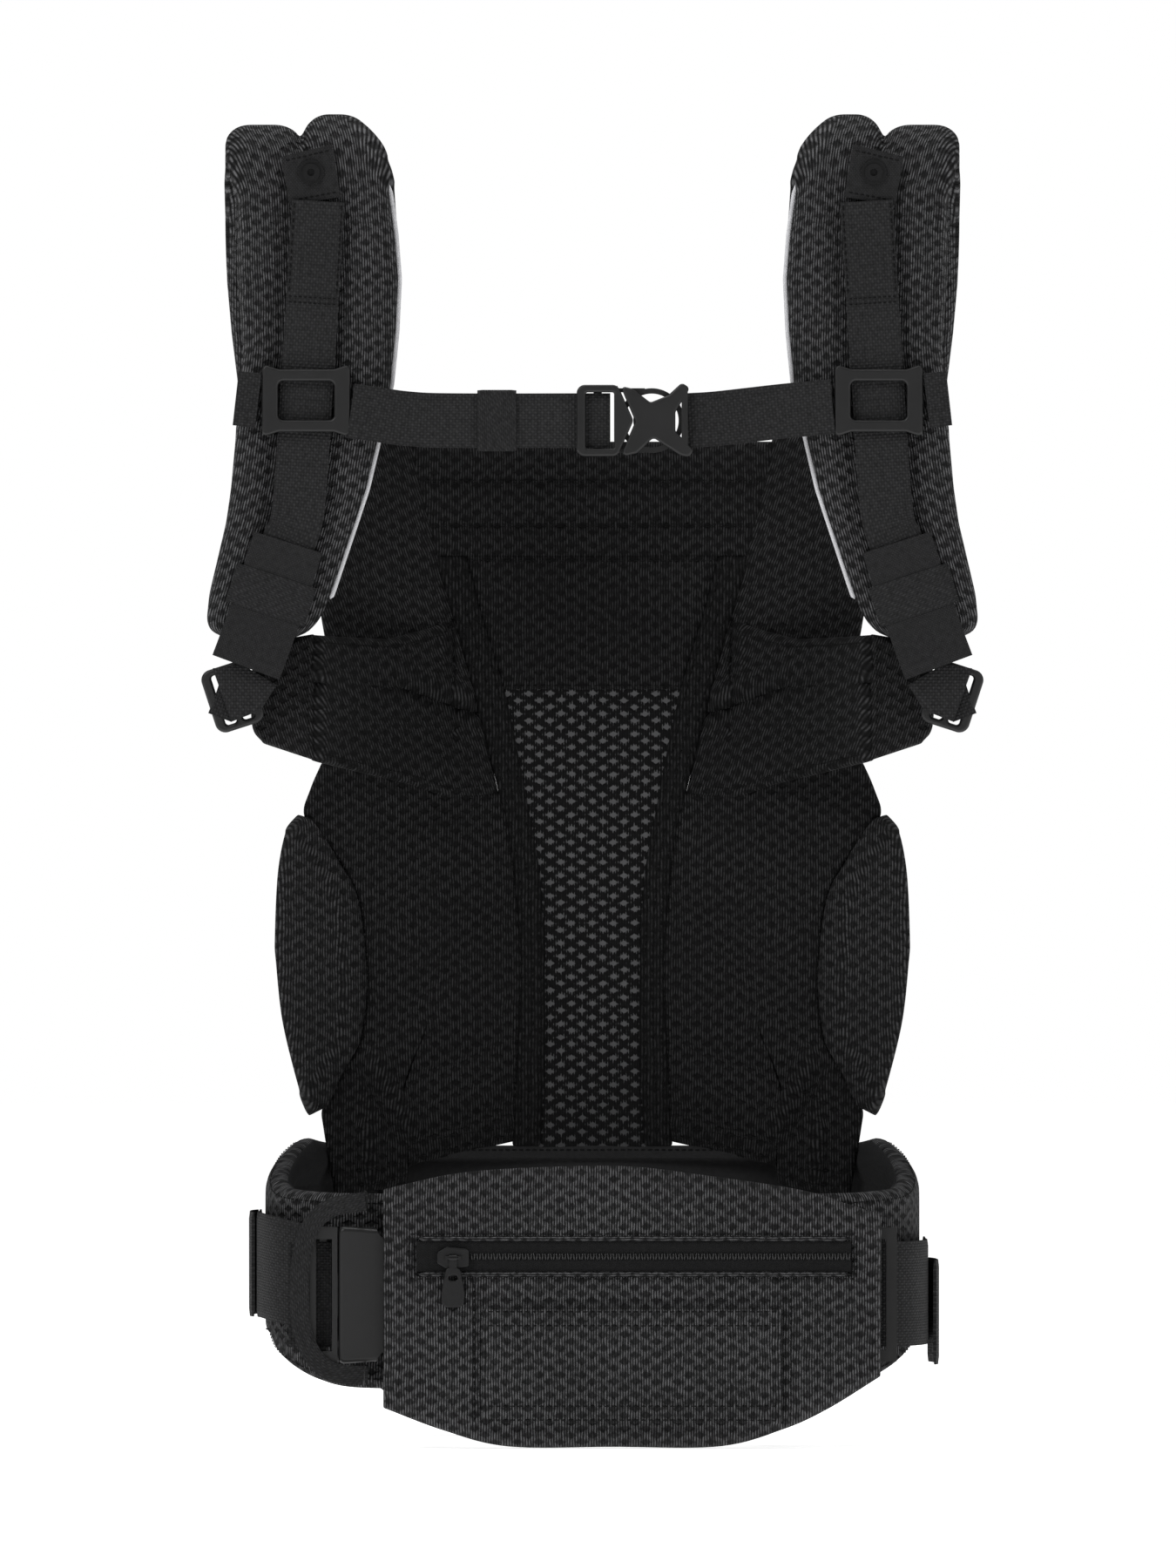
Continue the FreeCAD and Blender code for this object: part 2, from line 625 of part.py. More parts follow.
def make_chest_buckle():
    """The catch half with its ring, and the cross-shaped hook half that clips on to it."""
    near, back = chest_depths()
    low = size("buckle_level")
    face = near - 0.6
    ring_x = 28.2
    frame = [(-7.5, low - 17.0), (12.0, low - 17.0), (19.6, low), (12.0, low + 17.0), (-7.5, low + 17.0)]
    frame = [(x, z - low) for x, z in frame]
    loops = [(frame, 4.0), ([(-3.2, -13.4), (10.3, -13.4), (10.3, 13.4), (-3.2, 13.4)], 1.0)]
    catch_face = plate("catch_face", loops, "chest_slider_thick", (0.0, face, low), 0.0, 1.1)
    outer, inner = size("hook_ring"), size("hook_ring") - 2.6
    ring_far = back + 0.9
    disc = pin("catch_disc", outer, ring_far - near - 0.4, (ring_x, near + 0.4, low), (0, 1, 0))
    bore = pin("catch_bore", inner, 20.0, (ring_x, near - 5.0, low), (0, 1, 0))
    ring = cut("catch_ring", disc, bore)
    pieces = [catch_face, ring]
    for side in (-1, 1):
        corner = (-3.0, face - 0.2, low + side * 15.2 - 1.3)
        pieces.append(bar("catch_wall%d" % side, 15.0, ring_far - face + 0.2, 2.6, corner))
        corner = (11.0, near + 0.4, low + side * 14.4 - 1.0)
        pieces.append(bar("catch_neck%d" % side, 14.0, ring_far - near - 0.4, 2.0, corner))
    pieces.append(bar("catch_bar", 4.0, 1.5, 30.0, (0.5, back + 0.5, low - 15.0)))
    keep("chest_catch", fuse("chest_catch", pieces))
    hook = [(13.2, 16.6), (19.0, 15.2), (27.6, 8.6), (36.0, 12.0), (42.5, 18.0), (46.5, 15.5), (39.5, 4.0),
            (39.5, -5.0), (48.0, -14.0), (46.0, -17.4), (42.0, -16.6), (29.0, -8.2), (21.0, -15.6),
            (13.2, -17.4), (20.4, -0.4)]
    cross = plate("hook_cross", [(hook, 2.0)], "chest_slider_thick", (0.0, face, low), 0.0, 1.1)
    boss = pin("hook_boss", inner - 4.0, 2.6, (ring_x, face - 0.3, low), (0, 1, 0))
    post = bar("hook_bar", 3.0, size("chest_slider_thick"), 31.0,
               (42.4, face - size("chest_slider_thick"), low - 15.5))
    keep("chest_hook", fuse("chest_hook", [cross, boss, post]))


# ---------------------------------------------------------------- waist belt

def belt_path():
    """Middle line of the left belt wing in plan, from the back piece round to the near end."""
    half = size("belt_half") - size("belt_thick") / 2
    far = size("belt_far") - size("belt_thick") / 2
    near = -size("belt_near") + size("belt_thick") / 2
    start = -size("belt_back_half") - size("seam_gap")
    return [(start, far - 0.5), (start - 8.0, far - 0.6), (-half + 16.0, far - 13.0),
            (-half + 2.0, far - 48.0), (-half, 15.0), (-half + 6.0, near + 24.0), (-half + 26.0, near + 4.0),
            (-half + 61.0, near), (-68.0, near)]


def belt_heights(inset):
    """How high the belt wings stand along their depth, as (y, z) round the profile."""
    far = size("belt_far") + 5.0
    near = -size("belt_near") - 5.0
    return [(far, 24.0 + inset), (50.0, 48.0 + inset), (0.0, 50.0 + inset), (-38.0, 30.0 + inset),
            (near, 20.0 + inset), (near, 121.0 - inset), (-20.0, 140.0 - inset), (40.0, 146.0 - inset),
            (far, 136.0 - inset)]


def belt_wing(inset):
    """The left belt wing, shrunk all over by an inset."""
    path = belt_path()
    if inset > 0:
        path = [(path[0][0] - inset, path[0][1])] + path[1:-1] + [(path[-1][0] - inset, path[-1][1])]
    strip = strip_plan(path, size("belt_thick") - 2 * inset, 0.0, 160.0)
    return strip.common(prism_yz(belt_heights(inset), -200.0, -20.0))


def belt_back(inset):
    """The back piece of the belt, shrunk all over by an inset."""
    half = size("belt_back_half") - inset
    outline = [(-half, 24.0 + inset), (-68.0, inset), (68.0, inset), (half, 24.0 + inset),
               (half, 133.5 - inset), (-half, 133.5 - inset)]
    far = size("belt_far")
    return prism_xz(outline, far - size("belt_thick") + inset, far - inset)


def make_belt():
    """Belt covers, the foam inside them and the stiffening board."""
    cover = size("cover_thick")
    inner = cover + size("foam_gap")
    feature("belt_back", belt_back(0.0).cut(belt_back(cover)))
    pair("belt_wing", feature("belt_wing_left", belt_wing(0.0).cut(belt_wing(cover))))
    board_thick = 1.8
    near = size("belt_far") - size("belt_thick") + inner
    board = box(-80.0, 80.0, near, near + board_thick, 26.0, 118.0)
    feature("lumbar_board", board)
    room = box(-90.0, 90.0, near - 1.0, near + board_thick + size("foam_gap"), 20.0, 124.0)
    wing = belt_wing(inner)
    other_wing = wing.mirror(Vector(0, 0, 0), Vector(1, 0, 0))
    feature("belt_foam", Part.makeCompound([belt_back(inner).cut(room), wing, other_wing]))


def waist_webbing_path(end_x):
    """Plan line of the left waist webbing outside the belt, from the near side round to the side."""
    near = -size("waist_webbing_near") + size("webbing_thick") / 2
    side = -size("belt_half") - 2.2
    half = size("belt_half")
    return [(end_x, near), (end_x - 8.0, near), (-half + 23.0, near + 0.5), (-half + 6.0, near + 13.0),
            (side, -18.0), (side, 8.0), (side, 38.0)]


def make_waist_webbing():
    """The 50 mm webbing round the belt, with its folded tails, and the elastic safety loop."""
    half = size("waist_webbing") / 2
    low, high = size("waist_level") - half, size("waist_level") + half
    thick = size("webbing_thick")
    rise = 4.0
    strap = strip_plan(waist_webbing_path(-108.0), thick, low + rise, high + rise)
    side = -size("belt_half") - 2.2
    tail = strip_plan([(side - 1.0, 34.0), (side - 3.6, 22.0), (side - 4.0, 0.0), (side - 2.6, -12.0)],
                      thick, low + 9.0, high + 9.0)
    feature("waist_webbing_left", Part.makeCompound([strap, tail]))
    mirror_normal = Vector(1, 0, 0)
    start = -size("housing_left") + size("housing_wide") + 3.0
    path = waist_webbing_path(-108.0)
    run = [(-start, path[0][1]), (-20.0, path[0][1]), (-60.0, path[0][1])] + path
    right = strip_plan(run, thick, low, high).mirror(Vector(0, 0, 0), mirror_normal)
    right_tail = tail.mirror(Vector(0, 0, 0), mirror_normal).translated(Vector(2.0, 0, -12.0))
    feature("waist_webbing_right", Part.makeCompound([right, right_tail]))
    make_safety_loop()


def make_safety_loop():
    """The elastic loop that stands over the plug, sewn to the belt above and below it."""
    near = -size("housing_near") - 3.6
    top, bottom = 117.0, 27.0
    line = [(-110.0, top), (-124.0, top - 3.0), (-134.0, top - 12.0), (-138.6, top - 28.0), (-139.4, 72.0),
            (-138.0, bottom + 26.0), (-132.0, bottom + 11.0), (-123.0, bottom + 2.6), (-110.0, bottom)]
    band = ribbon_xz(line, 9.0, near, near + 1.4)
    back = -size("belt_near") - 0.3
    legs = [box(-113.0, -104.0, near, back, top - 0.7, top + 0.7),
            box(-113.0, -104.0, near, back, bottom - 0.7, bottom + 0.7)]
    feature("safety_loop", band.multiFuse(legs).removeSplitter())


def make_waist_buckle():
    """The side-release buckle of the belt: housing, plug with its webbing, and two sprung prongs."""
    left, wide, tall = -size("housing_left"), size("housing_wide"), size("housing_tall")
    near, thick, wall = -size("housing_near"), size("housing_thick"), size("housing_wall")
    level = size("waist_level")
    middle = left + wide / 2
    outline = [(-wide / 2, -tall / 2), (wide / 2, -tall / 2 + 4.0), (wide / 2, tall / 2 - 4.0),
               (-wide / 2, tall / 2)]
    shell = plate("housing_shell", [(outline, 3.0)], "housing_thick", (middle, near + thick, level), 0.0, 2.2)
    mouth = bar("housing_mouth", 46.0, thick - 2 * wall, tall - 10.0,
                (left - 1.0, near + wall, level - tall / 2 + 5.0))
    hollow = cut("housing_hollow", shell, mouth)
    windows = [bar("housing_window%d" % side, 17.0, thick - 2 * wall + 0.4, 9.0,
                   (left + 18.0, near + wall - 0.2, level + side * (tall / 2 - 2.5) - 4.5))
               for side in (-1, 1)]
    notches = [pin("housing_notch%d" % side, 8.6, thick + 4.0,
                   (left + 26.5, near - 2.0, level + side * (tall / 2 + 1.2)), (0, 1, 0)) for side in (-1, 1)]
    slot = bar("housing_slot", 4.6, thick + 4.0, size("waist_webbing") + 3.0,
               (left + wide - 9.0, near - 2.0, level - size("waist_webbing") / 2 - 1.5))
    keep("waist_housing", cut("waist_housing", hollow, fuse("housing_cuts", windows + notches + [slot])))
    play = size("plug_play")
    frame_left = left - 13.6
    inner_near = near + wall + play
    inner_thick = thick - 2 * wall - 2 * play
    low = level - tall / 2
    frame = [bar("plug_outer", 3.0, 6.0, tall - 1.0, (frame_left, near + 0.6, low + 0.5)),
             bar("plug_inner", 2.6, thick - 1.2, tall - 1.0, (left - 3.0, near + 0.6, low + 0.5)),
             bar("plug_bar", 3.4, 3.0, tall - 3.0, (frame_left + 4.6, near + thick - 4.0, low + 1.5))]
    for side in (-1, 1):
        corner = (frame_left, near + 0.6, level + side * (tall / 2 - 3.3) - 2.8)
        frame.append(bar("plug_arm%d" % side, 13.0, thick - 1.6, 5.6, corner))
    tongue = bar("plug_tongue", 36.0, inner_thick, 20.0, (left - 2.0, inner_near, level - 10.0))
    keep("waist_plug", fuse("waist_plug", frame + [tongue]))
    for side, name in ((1, "prong_upper"), (-1, "prong_lower")):
        edge = tall / 2 - 5.0 - play
        root = edge - 10.0
        prong = [(0.0, side * root), (24.0, side * (root + 2.5)), (36.0, side * (edge - 6.0)),
                 (38.0, side * (edge - 1.0)), (34.0, side * edge), (19.0, side * edge),
                 (14.0, side * (edge - 3.0)), (0.0, side * (root + 5.0))]
        if side < 0:
            prong.reverse()
        shape = prism_xz([(left + x, level + z) for x, z in prong], inner_near, inner_near + inner_thick)
        feature(name, shape)
    web_near = near + 6.9
    half = size("waist_webbing") / 2
    webbing = box(frame_left - 10.0, left - 3.4, web_near, web_near + 1.5, level - half, level + half)
    feature("plug_webbing", webbing)


def make_waist_slider():
    """The slider on the right-hand waist webbing: two near bars, one far bar and two end walls."""
    right, wide = size("waist_slider_right"), size("waist_slider_wide")
    half = size("waist_webbing") / 2 + 1.4
    level = size("waist_level")
    near = -size("waist_webbing_near") - 3.8
    front = near + 3.2
    far = near + 8.2
    tall = 2 * half + 11.0
    low = level - tall / 2
    pieces = [bar("waist_slider_left_bar", 5.0, front - near, tall, (right - wide, near, low)),
              bar("waist_slider_right_bar", 5.0, front - near, tall, (right - 5.0, near, low)),
              bar("waist_slider_far_bar", 6.0, 2.0, tall, (right - wide / 2 - 3.0, far - 2.0, low))]
    for side in (-1, 1):
        corner = (right - wide, near, level + side * (half + 2.75) - 2.75)
        pieces.append(bar("waist_slider_wall%d" % side, wide, front - near, 5.5, corner))
        corner = (right - wide / 2 - 5.0, near, level + side * (half + 2.75) - 2.75)
        pieces.append(bar("waist_slider_foot%d" % side, 10.0, far - near, 5.5, corner))
    keep("waist_slider", fuse("waist_slider", pieces))


# ---------------------------------------------------------------- pouch

def pouch_outline(inset):
    """The front of the pouch, as (x, z) points round it."""
    return [(-100.0 + inset, 19.0 + inset), (-71.0, 8.3 + inset), (-40.0, inset), (60.0, inset),
            (90.0, 8.5 + inset), (112.0, 18.5 + inset), (137.0 - inset, 34.0 + inset),
            (138.0 - inset, 111.0 - inset),
            (122.0, 115.8 - inset), (98.0, 123.0 - inset), (49.0, 130.3 - inset), (16.0, 134.2 - inset),
            (-64.0, 130.7 - inset), (-99.0 + inset, 123.0 - inset)]


def make_pouch():
    """The zipped pouch on the near side of the belt, its slip pocket and its zip."""
    near, deep, wall = -size("pouch_near"), size("pouch_deep"), size("pouch_wall")
    left, right = -size("zip_left"), size("zip_right")
    level, tall = size("zip_level"), size("zip_tall")
    shell = prism_xz(pouch_outline(0.0), near, near + deep)
    room = prism_xz(pouch_outline(wall), near + wall, near + deep - wall)
    slot = box(left, right, near - 1.0, near + wall + 1.0, level - tall / 2, level + tall / 2)
    feature("pouch", shell.cut(room).cut(slot))
    play = size("foam_gap")
    tape_near = near + 0.4
    half_tall = tall / 2 - play
    tape = box(left + play, right - play, tape_near, tape_near + 1.0, level - half_tall, level + half_tall)
    coil_half = size("coil_tall") / 2
    coil = box(left + 28.0, right - 2.0, near - 0.4, tape_near + 0.2, level - coil_half, level + coil_half)
    feature("zip_tape", tape.fuse(coil).removeSplitter())
    pocket = [(-52.0, 12.0), (90.0, 12.0), (90.0, 66.5), (-52.0, 66.5)]
    feature("slip_pocket", prism_xz(pocket, near - 1.5, near - 0.5))
    make_zip_slider(near)


def make_zip_slider(near):
    """The zip's slider with its bridge, and the puller that hangs from the bridge."""
    level = size("zip_level") - 0.6
    middle = -size("zip_left") + 18.5
    face = near - 2.9
    outline = [(-7.6, -2.6), (-3.0, -5.2), (7.6, -4.2), (7.6, 4.2), (-3.0, 5.2), (-7.6, 2.6)]
    corner = (middle, near - 0.8, level)
    plate_body = plate("zip_slider_body", [(outline, 1.6)], "webbing_thick", corner, 0.0, 0.5)
    bridge_y = near - 4.4
    bridge = pin("zip_bridge", 0.9, 7.0, (middle - 3.5, bridge_y, level), (1, 0, 0))
    posts = [bar("zip_post%d" % side, 1.2, face - bridge_y + 1.9, 2.0,
                 (middle + side * 3.2 - 0.6, bridge_y - 0.9, level - 1.0)) for side in (-1, 1)]
    keep("zip_slider", fuse("zip_slider", [plate_body, bridge] + posts))
    hub = pin("puller_hub", 1.6, 3.6, (middle - 1.8, bridge_y, level), (1, 0, 0))
    neck = bar("puller_neck", 3.6, 1.5, 5.0, (middle - 1.8, bridge_y - 0.75, level - 6.0))
    drop = [(-3.4, 0.0), (-5.6, -12.0), (-5.0, -19.0), (5.0, -19.0), (5.6, -12.0), (3.4, 0.0)]
    tab = plate("puller_tab", [(drop, 3.0), (rectangle(4.2, 2.6, 0.0, -5.0), 1.2)], "webbing_thick",
                (middle, bridge_y + 0.8, level - 4.4), 0.0, 0.5)
    bore = pin("puller_bore", 1.2, 12.0, (middle - 6.0, bridge_y, level), (1, 0, 0))
    keep("zip_puller", cut("zip_puller", fuse("puller_blank", [hub, neck, tab]), bore))


# ---------------------------------------------------------------- build, check and write

def check_all():
    """Stop if any object failed or any sub-part has no valid solid."""
    doc.recompute()
    for item in doc.Objects:
        if "Invalid" in item.State or "Error" in item.State:
            raise RuntimeError("object failed: " + item.Label)
    for label, item in nodes.items():
        if item.Shape.isNull() or not item.Shape.isValid() or not item.Shape.Solids:
            raise RuntimeError("sub-part has no valid solid: " + label)


def main():
    """Build every sub-part and write one file for each."""
    make_panel()
    make_side_panels()
    make_yokes()
    make_wings()
    make_straps()
    make_strap_webbing()
    make_ladder_locks()
    make_chest_strap()
    make_chest_buckle()
    make_belt()
    make_waist_webbing()
    make_waist_buckle()
    make_waist_slider()
    make_pouch()
    check_all()
    os.makedirs("parts", exist_ok=True)
    for label, item in nodes.items():
        item.Shape.exportStep(os.path.join("parts", label + ".step"))
    print(len(nodes), "sub-parts written")


main()
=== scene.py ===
"""Looks of the soft baby carrier: knit pads, webbing, open mesh, pouch, zip and moulded hardware.

Every length is in metres in the carrier's own frame: +Z up, -Y towards the chest strap and pouch.
"""

import json
import logging
import math
from dataclasses import dataclass, field
from enum import Enum
from typing import Callable, Optional, Sequence

import bpy
import numpy as np
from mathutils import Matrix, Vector

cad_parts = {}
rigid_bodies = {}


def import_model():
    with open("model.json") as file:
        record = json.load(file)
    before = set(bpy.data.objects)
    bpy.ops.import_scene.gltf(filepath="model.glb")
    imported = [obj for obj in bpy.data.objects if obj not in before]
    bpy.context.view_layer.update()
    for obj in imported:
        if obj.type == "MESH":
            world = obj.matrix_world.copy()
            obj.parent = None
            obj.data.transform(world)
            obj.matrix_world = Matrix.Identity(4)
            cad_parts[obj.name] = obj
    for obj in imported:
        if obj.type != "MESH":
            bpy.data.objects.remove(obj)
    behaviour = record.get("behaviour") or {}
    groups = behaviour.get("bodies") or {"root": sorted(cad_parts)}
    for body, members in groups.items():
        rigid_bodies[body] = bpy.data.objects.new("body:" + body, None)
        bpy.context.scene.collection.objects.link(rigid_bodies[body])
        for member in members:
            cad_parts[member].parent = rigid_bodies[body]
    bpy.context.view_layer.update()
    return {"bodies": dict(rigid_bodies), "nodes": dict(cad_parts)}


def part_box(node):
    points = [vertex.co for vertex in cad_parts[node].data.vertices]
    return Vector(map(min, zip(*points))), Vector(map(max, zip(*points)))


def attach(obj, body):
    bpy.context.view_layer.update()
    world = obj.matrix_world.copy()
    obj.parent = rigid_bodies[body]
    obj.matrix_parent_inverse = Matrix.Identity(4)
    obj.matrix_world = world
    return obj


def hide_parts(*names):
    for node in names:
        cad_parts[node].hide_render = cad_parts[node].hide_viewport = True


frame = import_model()
LOG = logging.getLogger("carrier")
MM = 0.001
UPWARD = np.array([0, 0, 1.0])
Array = np.ndarray
Piece = bpy.types.Object
Spot = tuple[float, float]
Field = Callable[[Array, Array], Array]


class Side(Enum):
    """Which hand of the carrier a piece belongs to."""

    LEFT = "left"
    RIGHT = "right"


class Cloth(Enum):
    """How a finish reads its pattern from a piece."""

    SURFACE = "surface"
    SPACE = "space"


# ------------------------------------------------------------------ curves and surfaces

def smooth_line(points: Sequence[Spot], steps: int = 14) -> Array:
    """Pass a smooth line through points.

    Args:
        points: the points of the line, in millimetres.
        steps: how many parts each stretch is divided into.

    Returns:
        The line's points in metres, one row each.
    """
    rows = np.array(points, dtype=float) * MM
    if len(rows) < 3:
        share = np.linspace(0, 1, steps + 1)[:, None]
        return rows[0] * (1 - share) + rows[-1] * share
    padded = np.vstack([2 * rows[0] - rows[1], rows, 2 * rows[-1] - rows[-2]])
    share = np.linspace(0, 1, steps, endpoint=False)[:, None]
    result = []
    for a, b, c, d in zip(padded, padded[1:], padded[2:], padded[3:]):
        curve = 2 * b + (c - a) * share + (2 * a - 5 * b + 4 * c - d) * share ** 2
        result.append(0.5 * (curve + (3 * b - 3 * c + d - a) * share ** 3))
    return np.vstack(result + [rows[-1:]])


def along(line: Array, share: Array) -> Array:
    """Places at even shares of a line's length.

    Args:
        line: the line's points.
        share: shares from 0 to 1.

    Returns:
        One place for each share.
    """
    steps = np.linalg.norm(np.diff(line, axis=0), axis=1)
    travelled = np.concatenate([[0.0], np.cumsum(steps)])
    travelled /= travelled[-1]
    return np.stack([np.interp(share, travelled, line[:, axis]) for axis in range(line.shape[1])], axis=1)


def length_of(line: Array) -> float:
    """Length of a line."""
    return float(np.linalg.norm(np.diff(line, axis=0), axis=1).sum())


def patch(bottom: Array, right: Array, top: Array, left: Array) -> Field:
    """Fill four sides with one even surface.

    Args:
        bottom: side from left to right.
        right: side from bottom to top.
        top: side from left to right.
        left: side from bottom to top.

    Returns:
        A function from shares across and up to places.
    """
    def place(across: Array, up: Array) -> Array:
        """Places on the filled surface."""
        u, v = across[:, None], up[:, None]
        sides = (1 - v) * along(bottom, across) + v * along(top, across)
        sides += (1 - u) * along(left, up) + u * along(right, up)
        corners = (1 - u) * (1 - v) * bottom[0] + u * (1 - v) * bottom[-1]
        corners += (1 - u) * v * top[0] + u * v * top[-1]
        return sides - corners
    return place


def rounding(distance: Array, radius: float) -> Array:
    """Height of a rounded edge, from 0 at the edge to 1 past the radius."""
    inner = np.clip(distance / radius, 0.0, 1.0)
    return np.sqrt(1.0 - (1.0 - inner) ** 2)


def edge_crown(width: float, height: float, radius: float) -> Field:
    """Rounded rim of a pad.

    Args:
        width: the pad's size across.
        height: the pad's size up.
        radius: how far the rounding reaches in.

    Returns:
        A function that is 0 on the rim and 1 inside.
    """
    def crown(across: Array, up: Array) -> Array:
        """Share of the full thickness."""
        sides = rounding(np.minimum(across, 1 - across) * width, radius)
        ends = rounding(np.minimum(up, 1 - up) * height, radius)
        return sides * ends
    return crown


def groove(value: Array, middle: float, width: float) -> Array:
    """A soft valley from 0 at its middle to 1 away from it."""
    return 1.0 - np.exp(-((value - middle) / width) ** 2)


# ------------------------------------------------------------------ mesh work

def only(piece: Piece) -> None:
    """Select one object alone and make it active."""
    bpy.ops.object.select_all(action="DESELECT")
    piece.select_set(True)
    bpy.context.view_layer.objects.active = piece


def apply(piece: Piece, kind: str, **settings: object) -> None:
    """Add a modifier and apply it.

    Args:
        piece: the piece to change.
        kind: the modifier's kind.
        settings: its values.
    """
    only(piece)
    bpy.ops.object.modifier_add(type=kind)
    modifier = piece.modifiers[-1]
    for key, value in settings.items():
        setattr(modifier, key, value)
    bpy.ops.object.modifier_apply(modifier=modifier.name)


def edit(piece: Piece, *steps: Callable[[], object]) -> None:
    """Run mesh operators on the whole of a piece, one after another.

    Args:
        piece: the piece to change.
        steps: the operators, each as a function without arguments.
    """
    only(piece)
    bpy.ops.object.mode_set(mode="EDIT")
    for step in steps:
        bpy.ops.mesh.select_all(action="SELECT")
        step()
    bpy.ops.object.mode_set(mode="OBJECT")


def outward(piece: Piece) -> None:
    """Make every face of a closed piece point outwards."""
    edit(piece, lambda: bpy.ops.mesh.normals_make_consistent(inside=False))


def smooth(piece: Piece, angle: float = 50.0) -> None:
    """Shade a piece smooth, with hard edges past an angle in degrees."""
    only(piece)
    bpy.ops.object.shade_smooth_by_angle(angle=math.radians(angle))


def spots_of(piece: Piece) -> Array:
    """A piece's vertex places."""
    values = np.empty(len(piece.data.vertices) * 3)
    piece.data.vertices.foreach_get("co", values)
    return values.reshape(-1, 3)


def move_spots(piece: Piece, spots: Array) -> None:
    """Set a piece's vertex places."""
    piece.data.vertices.foreach_set("co", np.ascontiguousarray(spots).ravel())
    piece.data.update()


def lay_cloth(piece: Piece, flat: Array) -> None:
    """Store the cloth's own flat coordinates, in metres, as the piece's UV map.

    Args:
        piece: the piece.
        flat: two coordinates for each vertex.
    """
    layer = piece.data.uv_layers.active or piece.data.uv_layers.new(name="cloth")
    layer.name = "cloth"
    corners = np.empty(len(piece.data.loops), dtype=int)
    piece.data.loops.foreach_get("vertex_index", corners)
    layer.data.foreach_set("uv", flat[corners].ravel())


def mirrored(piece: Piece, name: str) -> Piece:
    """Copy a left-hand piece to the right-hand side.

    Args:
        piece: the left-hand piece.
        name: the copy's name.

    Returns:
        The right-hand piece, with its own mesh.
    """
    copy = piece.copy()
    copy.data = piece.data.copy()
    copy.name = name
    bpy.context.collection.objects.link(copy)
    spots = spots_of(copy)
    spots[:, 0] *= -1
    move_spots(copy, spots)
    edit(copy, bpy.ops.mesh.flip_normals)
    return copy


def new_grid(name: str, columns: int, rows: int) -> Piece:
    """Add a flat grid one metre square about the origin."""
    bpy.ops.object.select_all(action="DESELECT")
    bpy.ops.mesh.primitive_grid_add(x_subdivisions=columns, y_subdivisions=rows, size=1.0)
    piece = bpy.context.object
    piece.name = name
    return piece


